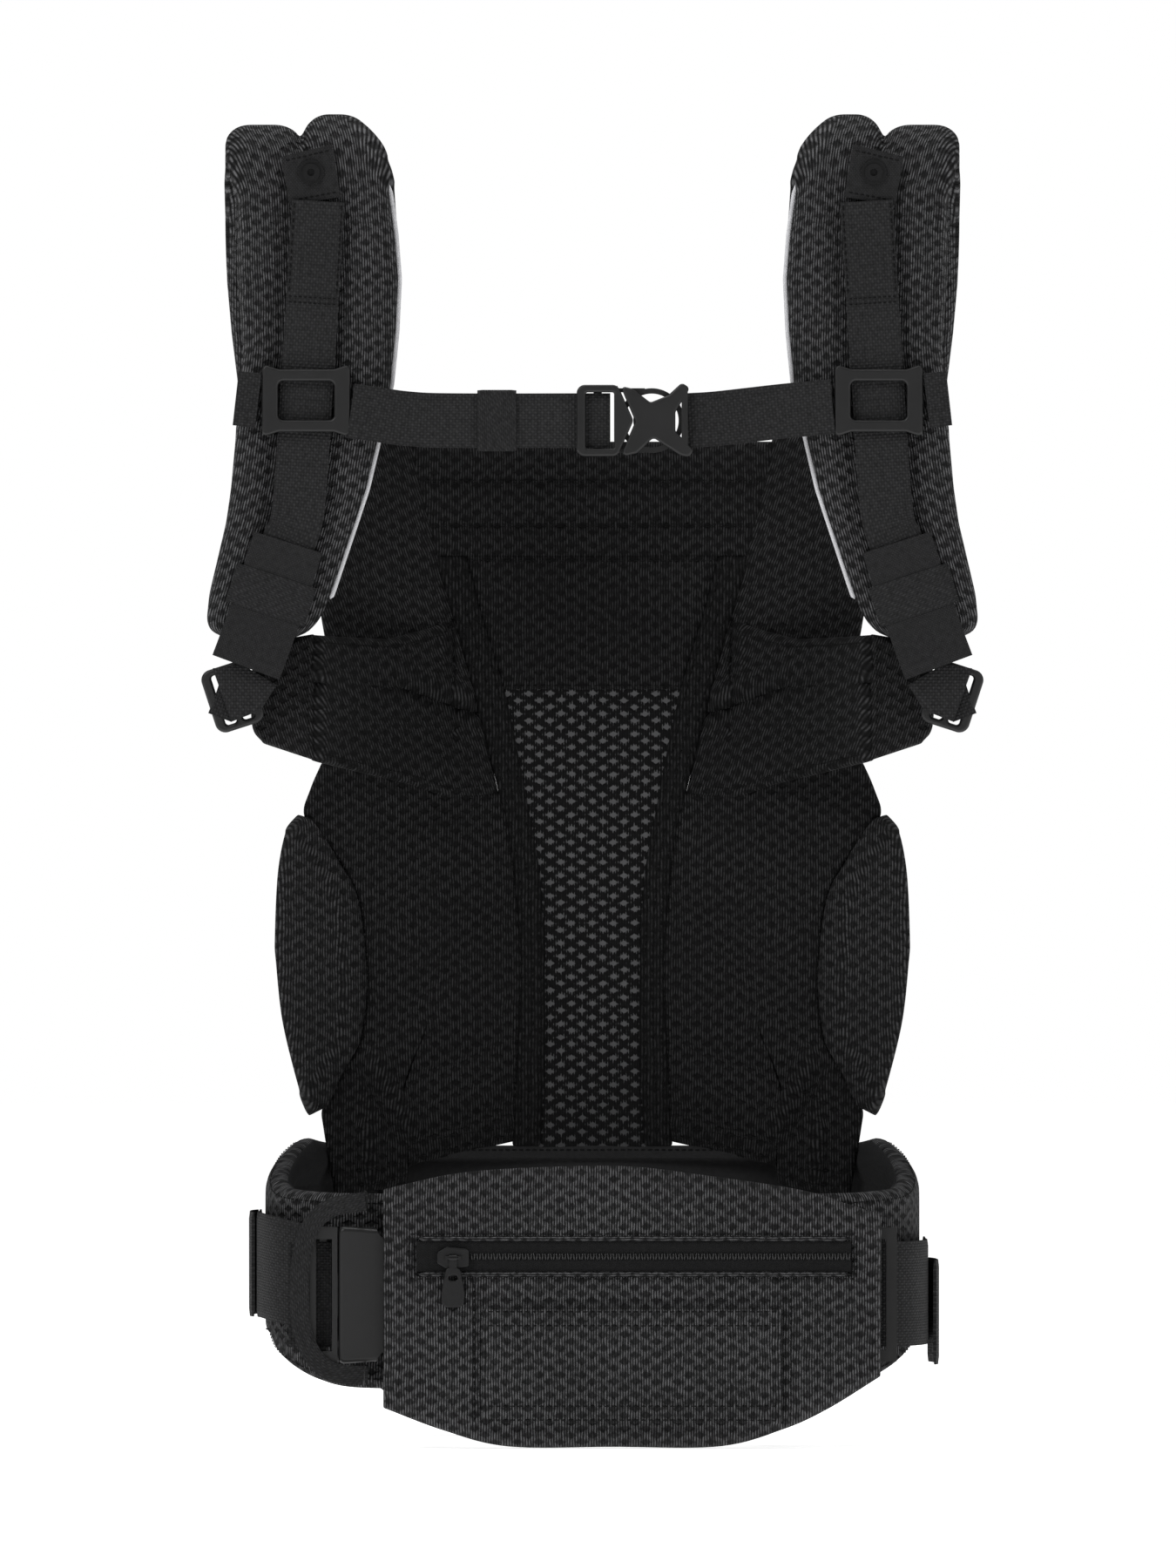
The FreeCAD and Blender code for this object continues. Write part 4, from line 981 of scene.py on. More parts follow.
def hands(piece: Piece, label: str, finish: str, slot: str, node: str = "",
          body: str = "carrier") -> list[Piece]:
    """Finish a left-hand piece and its mirror image.

    Args:
        piece: the left-hand piece.
        label: what both are called, before the hand.
        finish: the key of their material.
        slot: the record's material slot.
        node: the CAD node's name before its hand, if they replace one.
        body: the body that they ride on, or its name before the hand where each hand has its own.

    Returns:
        Both pieces.
    """
    other = mirrored(piece, f"{label}_{Side.RIGHT.value}")
    piece.name = f"{label}_{Side.LEFT.value}"
    for one, side in ((piece, Side.LEFT), (other, Side.RIGHT)):
        nodes = [f"{node}_{side.value}"] if node else []
        sided = f"{body}_{side.value}"
        settle(one, finish, sided if sided in frame["bodies"] else body, slot, *nodes)
    return [piece, other]


def ribbon(name: str, line: Array, width: float, thick: float, steps: int = 60, across: int = 8,
           turned: Optional[Array] = None) -> Pad:
    """A strip of webbing along a line.

    Args:
        name: its name.
        line: its centre line, in the carrier's frame.
        width: its width.
        thick: its thickness.
        steps: how many parts along it.
        across: how many parts across it.
        turned: the direction across it, level with +X where nothing is given.

    Returns:
        The built pad.
    """
    total = length_of(line)
    given = turned

    def middle(share: Array, up: Array) -> Array:
        """Places on the strip's middle surface."""
        centre = along(line, up)
        if given is None:
            ahead = along(line, np.clip(up + 0.004, 0, 1)) - along(line, np.clip(up - 0.004, 0, 1))
            side = np.stack([ahead[:, 2], np.zeros(len(up)), -ahead[:, 0]], axis=1)
            side /= np.maximum(np.linalg.norm(side, axis=1), 1e-9)[:, None]
        else:
            side = np.tile(given, (len(up), 1))
        return centre + side * ((share - 0.5) * width)[:, None]

    def depth(share: Array, up: Array) -> Array:
        """Half the webbing's thickness, rounded at its selvedges."""
        return thick * (0.25 + 0.25 * rounding(np.minimum(share, 1 - share) * width, 0.9 * MM))

    def flat(share: Array, up: Array) -> Array:
        """The webbing's own flat coordinates."""
        return np.stack([share * width, up * total], axis=1)
    return Pad(name, across, steps, middle, depth, depth, flat).build()


def upright(points: Sequence[Spot], y: float) -> Array:
    """A smooth upright line through places across and up, at one depth in metres."""
    line = smooth_line(points)
    return np.stack([line[:, 0], np.full(len(line), y), line[:, 1]], axis=1)


def level(points: Sequence[Spot], z: float) -> Array:
    """A smooth level line through places across and deep, at one height in metres."""
    line = smooth_line(points)
    return np.stack([line[:, 0], line[:, 1], np.full(len(line), z)], axis=1)


def flat_patch(name: str, shape: Field, y: float, thin: float, full: float, columns: int, rows: int,
               radius: float = 3.0) -> Pad:
    """An upright padded patch at one depth.

    Args:
        name: its name.
        shape: shares to places across and up.
        y: the depth of its middle.
        thin: half thickness at its rim, in millimetres.
        full: half thickness inside, in millimetres.
        columns: parts across.
        rows: parts up.
        radius: how far its rounding reaches in, in millimetres.

    Returns:
        The built pad.
    """
    def middle(across: Array, up: Array) -> Array:
        """Places on the patch's middle surface."""
        spots = shape(across, up)
        return np.stack([spots[:, 0], np.full(len(across), y), spots[:, 1]], axis=1)
    share = np.linspace(0, 1, 9)
    wide = float(np.ptp(shape(share, np.full(9, 0.5))[:, 0]))
    tall = float(np.ptp(shape(np.full(9, 0.5), share)[:, 1]))
    depth = thickness(thin, full, edge_crown(wide, tall, radius * MM))
    return Pad(name, columns, rows, middle, depth, depth).build()


# ------------------------------------------------------------------ the back panel

@dataclass
class BackPanel:
    """Headrest, upper panel, open mesh, rails, side panels, yokes and thigh pads, in millimetres."""

    fold: float = 424.2
    mesh_top: float = 360.2
    headrest_low: float = 75.0
    headrest_high: float = 88.0
    tuck: float = 1.2
    quilting: tuple[float, ...] = (459.8, 439.1)
    rail_outer: tuple[Spot, ...] = ((-37.5, 139.5), (-35.7, 180), (-34, 215), (-34.4, 242), (-37.8, 277),
                                    (-44.4, 311), (-51, 337), (-59, 368), (-66.8, 397), (-74.8, 424))
    rail_inner: tuple[Spot, ...] = ((-26, 139.5), (-24.9, 167), (-23.7, 201), (-25.7, 263), (-31, 297),
                                    (-40, 344), (-46, 368), (-55, 397), (-62, 424))
    thigh_seam: tuple[Spot, ...] = ((-130, 158.5), (-123, 174), (-113.7, 189), (-110, 215), (-111.6, 244),
                                    (-116, 264), (-126, 281), (-138.6, 298))
    thigh_outer: tuple[Spot, ...] = ((-135, 154.5), (-140.4, 170), (-147.8, 200), (-151, 229), (-151.5, 240),
                                     (-150, 271), (-146, 291), (-140.2, 299.5))

    def build(self) -> None:
        """Make every piece of the panel."""
        self.headrest()
        self.middle_pieces()
        self.rails()
        self.side_panels()
        self.thigh_pads()
        self.yokes()

    def stripe(self, left: Array, right: Array, bottom: float, top: float) -> Field:
        """A field between two upright seams and two heights."""
        def place(across: Array, up: Array) -> Array:
            """Places across and up."""
            z = (bottom + (top - bottom) * up) * MM
            low = np.interp(z, left[:, 1], left[:, 0])
            high = np.interp(z, right[:, 1], right[:, 0])
            return np.stack([low + (high - low) * across, z], axis=1)
        return place

    def headrest(self) -> None:
        """The padded headrest with its quilting rows."""
        low, high, top = self.headrest_low, self.headrest_high, HEADREST_TOP / MM
        left = np.array([(-low - self.tuck, self.fold - 0.8), (-high - self.tuck, top)]) * MM
        right = left * np.array([-1, 1])
        shape = self.stripe(left, right, self.fold - 0.8, top)
        crown = edge_crown(2 * high * MM, (top - self.fold) * MM, 9 * MM)
        rows = [(row - self.fold) / (top - self.fold) for row in self.quilting]

        def quilted(across: Array, up: Array) -> Array:
            """Rounded rim with a valley along each quilting row."""
            full = crown(across, up)
            for row in rows:
                full = full * (0.15 + 0.85 * groove(up, row, 0.07))
            return full

        depth = thickness(1.2, 3.6, quilted)
        pad = Pad("soft_headrest", 76, 30, on_panel(shape), depth, depth).build()

        def sewn(across: Array, up: Array) -> Array:
            """1 along the rim and the quilting rows."""
            nearest = np.min([np.abs(up - row) for row in rows], axis=0)
            return np.maximum(rim(across, up), nearest < 0.02)
        pad.inflate(sewn, cap=2.5 * MM)
        piece = pad.finish()
        settle(piece, "panel", "headrest", "knit", "headrest")
        for index, row in enumerate(rows):
            for offset in (-0.012, 0.012):
                seam = pad.seam(f"headrest_stitches_{index}_{'low' if offset < 0 else 'high'}",
                                [(0.02, row + offset), (0.98, row + offset)])
                settle(seam, "thread", "headrest", "knit")

    def middle_pieces(self) -> None:
        """The upper panel, the open mesh and the binding below it."""
        inner = np.array(smooth_line(self.rail_inner))
        left = inner + np.array([0.25 * MM, 0])
        right = left * np.array([-1, 1])
        shape = self.stripe(left, right, self.mesh_top - 1.0, self.fold + 0.6)
        crown = edge_crown(110 * MM, 63 * MM, 6 * MM)
        depth = thickness(1.2, 3.2, crown)
        upper = Pad("soft_upper_panel", 44, 28, on_panel(shape), depth, depth).build()
        upper.inflate(rim, cap=2.0 * MM)
        settle(upper.finish(), "panel", "carrier", "knit", "upper_panel")
        for offset, label in ((0.03, "low"), (0.95, "high")):
            seam = upper.seam(f"upper_panel_stitches_{label}", [(0.02, offset), (0.98, offset)])
            settle(seam, "thread", "carrier", "knit")
        self.open_mesh(left, right)
        self.binding()

    def open_mesh(self, left: Array, right: Array) -> None:
        """The open mesh window, sagging a little between its seams."""
        shape = self.stripe(left, right, PANEL_FOOT / MM - 1.5, self.mesh_top + 0.6)

        def ripples(x: Array, z: Array) -> Array:
            """Slight waves of the loose mesh."""
            reach = np.clip(1 - (x / (36 * MM)) ** 2, 0, 1)
            return (np.sin(z / (19 * MM)) * 0.4 + np.sin(x / (9 * MM) + z / (31 * MM)) * 0.3) * MM * reach

        def thin(across: Array, up: Array) -> Array:
            """Half the mesh's thickness."""
            return np.full(len(across), 0.7 * MM)
        pad = Pad("soft_mesh_window", 40, 100, on_panel(shape, 0.0, ripples), thin, thin).build()
        piece = pad.finish(0)
        settle(piece, "open_mesh", "carrier", "open_mesh", "mesh_window")

    def binding(self) -> None:
        """The smooth strip that binds the bottom of the mesh."""
        lowest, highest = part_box("binding_strip")
        line = np.linspace(lowest[0], highest[0], 60)
        middle = (lowest[2] + highest[2]) / 2
        centre = np.stack([line, panel_depth(line), np.full(60, middle)], axis=1)
        pad = ribbon("soft_binding_strip", centre, (highest[2] - lowest[2]) + 1.4 * MM, 2.6 * MM, 60, 5)
        settle(pad.finish(0), "lining", "carrier", "webbing", "binding_strip")
        seam = pad.seam("binding_stitches", [(0.35, 0.01), (0.35, 0.99)])
        settle(seam, "thread", "carrier", "webbing")

    def rails(self) -> None:
        """The stitched bands on each side of the mesh."""
        outer = np.array(smooth_line(self.rail_outer))
        inner = np.array(smooth_line(self.rail_inner))
        shape = self.stripe(outer - np.array([self.tuck * MM, 0]), inner + np.array([self.tuck * MM, 0]),
                            PANEL_FOOT / MM, self.fold - 0.1)
        crown = edge_crown(14 * MM, 284 * MM, 2.4 * MM)
        depth = thickness(0.9, 3.3, crown)
        pad = Pad("soft_rail", 10, 110, on_panel(shape, 0.5 * MM), depth, depth).build()
        hands(pad.finish(), "soft_rail", "band", "knit", "rail")
        for share, label in ((0.2, "outer"), (0.5, "middle"), (0.8, "inner")):
            seam = pad.seam(f"rail_{label}_stitches", [(share, 0.01), (share, 0.99)])
            hands(seam, f"rail_{label}_stitches", "thread", "knit")

    def side_folds(self, x: Array, z: Array) -> Array:
        """Soft drape folds across a side panel."""
        height = ridge(x, z, (-40, 296), (-104, 232), 9, 1.6)
        height += ridge(x, z, (-38, 262), (-100, 192), 8, -1.3)
        height += ridge(x, z, (-40, 222), (-112, 180), 9, 1.5)
        height += ridge(x, z, (-42, 190), (-118, 160), 6, -1.6)
        height += ridge(x, z, (-105, 182), (-88, 149), 4, 3.0)
        height += ridge(x, z, (-112, 176), (-97, 146), 3, -1.8)
        height += ridge(x, z, (-109, 149), (-107, 125), 3.2, 2.6)
        height += ridge(x, z, (-46, 166), (-84, 150), 5, 1.8)
        height += ridge(x, z, (-40, 150), (-84, 139), 2.4, 1.4)
        return height + ridge(x, z, (-66, 292), (-112, 268), 10, 1.2)

    def side_panels(self) -> None:
        """The soft side panels between the rails and the thigh pads."""
        right = smooth_line([spot for spot in self.rail_outer if 150 < spot[1] < 300])
        right = np.vstack([[-37.2 * MM, 142 * MM], right, [-44.2 * MM, 311 * MM]])
        right = right + np.array([self.tuck * MM, 0])
        left = smooth_line([(-124, 115), (-129.6, 149)] + list(self.thigh_seam) + [(-136, 311), (-130, 325)])
        bottom = np.vstack([smooth_line([(-124, 115), (-107, 117), (-90, 120), (-88, 128), (-74, 131)]),
                            smooth_line([(-72, 131.5), (-36.2, 138)])])
        top = smooth_line([(-130, 325), (-112, 327), (-96, 325), (-80, 317), (-60, 310), (-43.2, 311)])
        shape = patch(bottom, right, top, left)
        crown = edge_crown(80 * MM, 160 * MM, 5 * MM)
        depth = thickness(0.9, 2.6, crown)
        pad = Pad("soft_side_panel", 56, 90, on_panel(shape, 0, self.side_folds), depth, depth).build()
        hands(pad.finish(), "soft_side_panel", "panel", "knit", "side_panel")
        for low, label in ((0.02, "low"), (0.05, "high")):
            seam = pad.seam(f"side_hem_{label}_stitches", [(0.05, low), (0.97, low)])
            hands(seam, f"side_hem_{label}_stitches", "thread", "knit")
        seam = pad.seam("side_rail_stitches", [(0.975, 0.03), (0.975, 0.97)])
        hands(seam, "side_rail_stitches", "thread", "knit")
        seam = pad.seam("side_thigh_stitches", [(0.02, 0.2), (0.02, 0.9)])
        hands(seam, "side_thigh_stitches", "thread", "knit")

    def thigh_pads(self) -> None:
        """The crescent pads round the leg openings."""
        inner = smooth_line(self.thigh_seam) + np.array([self.tuck * MM, 0])
        outer = smooth_line(self.thigh_outer) - np.array([self.tuck * MM, 0])
        shape = patch(np.vstack([outer[0], inner[0]]), inner, np.vstack([outer[-1], inner[-1]]), outer)
        heights, seam = np.array(sorted((spot[1], spot[0]) for spot in self.thigh_seam)).T * MM

        def forward(x: Array, z: Array) -> Array:
            """How far the pad stands in front of the panel: nothing at the seam, more towards the leg."""
            return 4.0 * MM * np.clip((np.interp(z, heights, seam) - x) / (12 * MM), 0, 1)
        crown = edge_crown(34 * MM, 150 * MM, 9 * MM)
        front = thickness(1.0, 6.2, crown)
        pad = Pad("soft_thigh_pad", 20, 70, on_panel(shape, 0, forward), front, front).build()
        pad.inflate(rim, cap=3.0 * MM)
        for piece in hands(pad.finish(), "soft_thigh_pad", "pad_knit", "knit", "thigh_pad"):
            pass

    def yokes(self) -> None:
        """The ribbed pieces between the headrest and the shoulder straps."""
        right = smooth_line([(-66.4, 394), (-74, 424), (-87, 482)])
        left = smooth_line([(-128, 380), (-139, 440), (-150, 482)])
        bottom = smooth_line([(-128, 380), (-106, 377), (-85, 379), (-66.4, 394)])
        top = smooth_line([(-150, 482), (-87, 482)])
        shape = patch(bottom, right, top, left)

        def drape(x: Array, z: Array) -> Array:
            """Folds that run from the headrest's corner to the strap."""
            height = ridge(x, z, (-80, 428), (-126, 400), 7, 1.4)
            return height + ridge(x, z, (-88, 462), (-134, 432), 8, -1.2)
        crown = edge_crown(60 * MM, 90 * MM, 6 * MM)
        depth = thickness(0.9, 2.6, crown)
        pad = Pad("soft_yoke", 40, 52, on_panel(shape, 0, drape), depth, depth).build()
        hands(pad.finish(), "soft_yoke", "rib", "knit", "yoke")
        seam = pad.seam("yoke_stitches", [(0.03, 0.045), (0.97, 0.045)])
        hands(seam, "yoke_stitches", "thread", "knit")


# ------------------------------------------------------------------ the shoulder straps

@dataclass
class ShoulderStraps:
    """Padded straps with their folds over the shoulder, webbing, keepers, tabs and wings, in millimetres."""

    stations: tuple[tuple[float, float, float], ...] = (
        (388.5, -158.5, 26.0), (406, -153.5, 29.2), (440, -143.8, 30.9), (456, -140, 32.4),
        (481, -135.9, 34.2), (506, -133.2, 37.2), (531, -133.4, 39.9), (556, -133.8, 41.5),
        (581, -134.6, 40.7), (605, -135.8, 39.2), (616, -137.6, 36.9), (621, -140, 34.3),
        (624, -141.5, 32))
    centre_y: float = -46.0
    fold_y: float = -27.0
    fold_z: float = 604.5
    fold_radius: float = 19.0
    lean: float = 31.0
    foot: float = 384.5
    root: float = 483.0
    lobe: float = 15.2
    channel: float = 10.6
    notch: float = -139.0
    notch_depth: float = -2.5
    inner_crest: float = 11.5
    outer_crest: float = 6.5
    inner_round: float = 11.0
    outer_round: float = 8.0
    tuck: float = 6.0
    seam_share: float = 0.27
    fold_back: float = 6.2
    inset: float = 0.09
    piping_foot: float = 402.5
    foot_round: float = 11.0

    def build(self) -> None:
        """Make both straps and everything sewn on them."""
        self.covers()
        self.webbings()
        self.tabs_and_ends()
        self.wings()

    def outline(self, z: Array) -> tuple[Array, Array]:
        """Centre and half width of the strap at a height, in metres."""
        heights, centres, halves = np.array(self.stations).T * MM
        return np.interp(z, heights, centres), np.interp(z, heights, halves)

    def path(self) -> Array:
        """The strap's side line, as depth and height, from the foot over the shoulder to the root."""
        turn = np.radians(np.linspace(180, self.lean, 24))
        fold = [(self.fold_y + self.fold_radius * math.cos(a), self.fold_z + self.fold_radius * math.sin(a))
                for a in turn]
        slope = math.tan(math.radians(self.lean))
        end = (fold[-1][0] + (fold[-1][1] - self.root) * slope, self.root)
        return np.array([(self.centre_y, self.foot)] + fold + [end]) * MM

    def middle(self, across: Array, up: Array) -> Array:
        """Places on the strap's middle surface."""
        line = self.path()
        side = along(line, up)
        centre, half = self.outline(side[:, 1])
        height = side[:, 1] / MM
        ahead = np.clip((self.front_run() + 0.10 - up) / 0.08, 0, 1)
        between = np.clip((height - 484) / 40, 0, 1) * np.clip((622 - height) / 24, 0, 1)
        tucked = self.tuck * MM * ahead * between
        foot_round = self.foot_round * MM
        corner = (1 - rounding(side[:, 1] - self.foot * MM, foot_round)) * foot_round
        half = half - corner * (up < 0.5)
        left = centre - half + tucked
        x = left + (centre + half - left) * across
        inner = 1 - rounding(centre + half - x, self.inner_round * MM)
        outer = 1 - rounding(x - left, self.outer_round * MM)
        drop = (self.inner_round * inner + self.outer_round * outer) * MM * np.clip((height - 555) / 55, 0, 1)
        return np.stack([x, side[:, 0], side[:, 1] - drop], axis=1)

    def front_run(self) -> float:
        """Share of the strap's length that lies in front."""
        return (self.fold_z - self.foot) * MM / length_of(self.path())

    def edges(self, across: Array, up: Array, radius: float) -> Array:
        """Rounding of the strap's long edges and its ends."""
        line = self.path()
        half = self.outline(along(line, up)[:, 1])[1]
        sides = rounding(np.minimum(across, 1 - across) * 2 * half, radius * MM)
        return sides * rounding(np.minimum(up, 1 - up) * length_of(line), 9 * MM)

    def front(self, across: Array, up: Array) -> Array:
        """Thickness towards the webbing: two lobes with a channel, deepest over the shoulder."""
        spots = self.middle(across, up)
        height = along(self.path(), up)[:, 1] / MM
        gap = (spots[:, 0] - webbing_centre(np.minimum(spots[:, 2], 0.6))) / MM
        lobes = np.clip((np.abs(gap) - 15) / 9, 0, 1)
        lobes = lobes * lobes * (3 - 2 * lobes)
        low = np.clip((height - self.foot) / 22, 0, 1)
        run = self.channel + (self.lobe - self.channel) * lobes * low
        notch = rounding(np.abs(spots[:, 0] / MM - self.notch), 13.0)
        crest = np.where(spots[:, 0] / MM > self.notch, self.inner_crest, self.outer_crest)
        top = self.notch_depth + (crest - self.notch_depth) * notch
        turn = np.clip((height - 592) / 22, 0, 1)
        turn = turn * turn * (3 - 2 * turn)
        past = np.clip((up - self.front_run() - 0.09) / 0.06, 0, 1)
        raised = (run + (top - run) * turn) * (1 - past) + 10.4 * past
        edge = self.edges(across, up, 11)
        return (1.0 + (raised - 1.0) * edge) * MM

    def back(self, across: Array, up: Array) -> Array:
        """Thickness towards the wearer, with a sewn valley across the back run."""
        run = self.front_run()
        inner = np.where((up > run - 0.02) & (up < run + 0.16), 8.0, 9.6)
        sewn = 0.55 + 0.45 * groove(up, run + self.seam_share, 0.008)
        return (1.0 + (inner - 1.0) * self.edges(across, up, 10) * sewn) * MM

    def flat(self, across: Array, up: Array) -> Array:
        """The cover's flat cloth coordinates."""
        line = self.path()
        half = self.outline(along(line, up)[:, 1])[1]
        return np.stack([(across - 0.5) * 2 * half, up * length_of(line)], axis=1)

    def held(self, across: Array, up: Array) -> Array:
        """1 along the rim and under the webbing."""
        spots = self.middle(across, up)
        gap = np.abs(spots[:, 0] - webbing_centre(spots[:, 2])) / MM
        under = (gap < 16) & (up < self.front_run() + 0.12)
        return np.maximum(rim(across, up), under.astype(float))

    def covers(self) -> None:
        """The padded covers and the foam inside them."""
        pad = Pad("soft_strap", 44, 160, self.middle, self.front, self.back, self.flat).build()
        pad.inflate(self.held, cap=1.6 * MM)
        for piece in hands(pad.finish(), "soft_strap_cover", "knit", "knit", "strap_cover"):
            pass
        share = 1 - 2 * self.inset

        def core_middle(across: Array, up: Array) -> Array:
            """The foam's middle surface, inside the cover's rim."""
            return self.middle(self.inset + share * across, self.inset + share * up)
        front, back = self.core_of(self.front), self.core_of(self.back)
        core = Pad("strap_core", 20, 70, core_middle, front, back).build()
        for piece in hands(core.finish(0), "soft_strap_foam", "foam", "foam", "strap_foam"):
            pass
        self.piping(pad, self.front_run())

    def core_of(self, face: Field) -> Field:
        """The foam's thickness under one face of the cover."""
        def depth(across: Array, up: Array) -> Array:
            """Thickness of the foam."""
            share = 1 - 2 * self.inset
            return (face(self.inset + share * across, self.inset + share * up) - 1.5 * MM) * 0.7
        return depth

    def piping(self, pad: Pad, front_run: float) -> None:
        """The light piping along the strap's inner edge."""
        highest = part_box("strap_piping_left")[1]
        shares = np.linspace(0.012, front_run + 0.06, 140)
        spots = pad.middle(np.full(140, 0.996), shares)
        line = spots + np.array([0.7 * MM, -1.6 * MM, 0])
        line = line[(line[:, 2] > self.piping_foot * MM) & (line[:, 2] < highest[2] + 0.5 * MM)]
        piece = tube("strap_piping", line, 1.15 * MM, 10)
        hands(piece, "soft_strap_piping", "piping", "piping", "strap_piping")

    def webbings(self) -> None:
        """Shoulder webbing, its bar tacks, the keepers and the lower straps."""
        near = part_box("shoulder_webbing_left")[0][1] + 0.8 * MM
        route = [(-150.4, 411), (-147.5, 421.5), (-145.2, 430), (-140, 447), (-135.4, 513), (-130.5, 593)]
        line = upright(route, near + 0.4 * MM)
        pad = ribbon("soft_shoulder_webbing", line, 25 * MM, 1.6 * MM, 110, 12)
        hands(pad.finish(0), "soft_shoulder_webbing", "webbing", "webbing", "shoulder_webbing")
        for share in (0.735, 0.75):
            tack = pad.seam("webbing_tack", [(0.04, share), (0.96, share)], pitch=2.2 * MM)
            hands(tack, f"webbing_tack_{int(share * 1000)}", "thread", "webbing")
        for share in (0.05, 0.95):
            edge = pad.seam("webbing_edge", [(share, 0.76), (share, 0.995)], pitch=3.4 * MM)
            hands(edge, f"webbing_edge_{int(share * 100)}", "thread", "webbing")
        route = [(-165, 371), (-160, 384.5), (-155, 399), (-148.6, 418.5), (-144.8, 430.5)]
        lower = upright(route, near - 1.3 * MM)
        pad = ribbon("soft_lower_strap", lower, 34 * MM, 1.6 * MM, 40, 14)
        hands(pad.finish(0), "soft_lower_strap", "smooth_webbing", "webbing", "lower_strap")
        self.keepers()
        self.lock_folds(near)

    def keepers(self) -> None:
        """The elastic keepers round the straps' lower webbing."""
        lowest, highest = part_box("webbing_keeper_left")
        middle = [(low + high) / 2 for low, high in zip(lowest, highest)]
        angle = math.radians(18.2)
        side = np.array([math.cos(angle), 0, -math.sin(angle)])
        ahead = np.array([math.sin(angle), 0, math.cos(angle)])
        turns = np.linspace(0, 2 * math.pi, 65)[:-1]
        flat = np.sign(np.cos(turns)) * np.abs(np.cos(turns)) ** 0.25 * 19.4 * MM
        deep = np.sign(np.sin(turns)) * np.abs(np.sin(turns)) ** 0.45 * 2.5 * MM
        loop = np.array(middle) + flat[:, None] * side + deep[:, None] * np.array([0, 1, 0])
        pad = ribbon("webbing_keeper", np.vstack([loop, loop[:1]]), 19 * MM, 0.9 * MM, 90, 8, ahead)
        hands(pad.finish(0), "soft_webbing_keeper", "twill", "webbing", "webbing_keeper")

    def lock_folds(self, near: float) -> None:
        """The webbing's folded end that runs from the lower strap into the ladder lock."""
        left = smooth_line([(-172, 345), (-181, 370.5)])
        right = smooth_line([(-158, 350.5), (-150.5, 362.5)])
        bottom = smooth_line([(-172, 345), (-158, 350.5)])
        top = smooth_line([(-181, 370.5), (-167, 371.5), (-150.5, 362.5)])
        middle = near + self.fold_back * MM
        pad = flat_patch("lock_webbing", patch(bottom, right, top, left), middle, 0.7, 0.9, 14, 18)
        hands(pad.finish(0), "lock_webbing", "webbing", "webbing", body="ladder_lock")
        ahead = upright([(-177.5, 347), (-173.5, 357.5), (-170.5, 367)], middle + 3.6 * MM)
        loop = ribbon("lock_loop", ahead, 12 * MM, 1.5 * MM, 16, 8)
        hands(loop.finish(0), "lock_loop", "webbing", "webbing", body="ladder_lock")

    def tabs_and_ends(self) -> None:
        """Snap tabs at the top and the stitched wing ends at the bottom."""
        near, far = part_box("snap_tab_left")[0][1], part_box("snap_tab_left")[1][1]
        left = np.array([(-144, 590.9), (-148.2, 614.2)]) * MM
        right = np.array([(-119.9, 595), (-124.1, 620)]) * MM
        shape = patch(np.vstack([left[0], right[0]]), right, np.vstack([left[1], right[1]]), left)
        pad = flat_patch("snap_tab", shape, (near + far) / 2, 0.9, 1.0, 20, 20)
        hands(pad.finish(0), "soft_snap_tab", "smooth_webbing", "webbing", "snap_tab")
        for share in (0.1, 0.9):
            row = pad.seam("snap_tab_row", [(0.06, share), (0.94, share)], pitch=2.6 * MM)
            hands(row, f"snap_tab_row_{int(share * 10)}", "thread", "webbing")
        self.wing_ends()

    def wing_ends(self) -> None:
        """The padded ends where the wings meet the lower straps."""
        near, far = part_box("wing_end_left")[0][1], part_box("wing_end_left")[1][1]
        left = smooth_line([(-157, 334.5), (-162.7, 345), (-162, 382)])
        right = smooth_line([(-132.6, 326.4), (-132.6, 386.9)])
        bottom = smooth_line([(-157, 334.5), (-132.6, 326.4)])
        top = smooth_line([(-162, 382), (-132.6, 386.9)])
        pad = flat_patch("wing_end", patch(bottom, right, top, left), (near + far) / 2, 1.2, 4.4, 18, 36)
        hands(pad.finish(), "soft_wing_end", "rib", "webbing", "wing_end")
        for share in (0.12, 0.9):
            row = pad.seam("wing_end_row", [(share, 0.05), (share, 0.95)], pitch=3.0 * MM)
            hands(row, f"wing_end_row_{int(share * 100)}", "thread", "webbing")

    def wings(self) -> None:
        """The side wings that run from the panel forward to the straps."""
        plan = smooth_line([(-134.2, -40.5), (-130, -37.5), (-122, -8), (-110, 28), (-90, 62), (-67, 79),
                            (-45, panel_depth(np.array(-45 * MM)) / MM)])
        bottom = np.array([(-134.2, 326.5), (-106.7, 318.7), (-85.5, 313.3), (-66.8, 306.3), (-44, 309)]) * MM
        top = np.array([(-134.2, 386.5), (-117, 385), (-98.8, 384), (-82.6, 388), (-61, 395)]) * MM

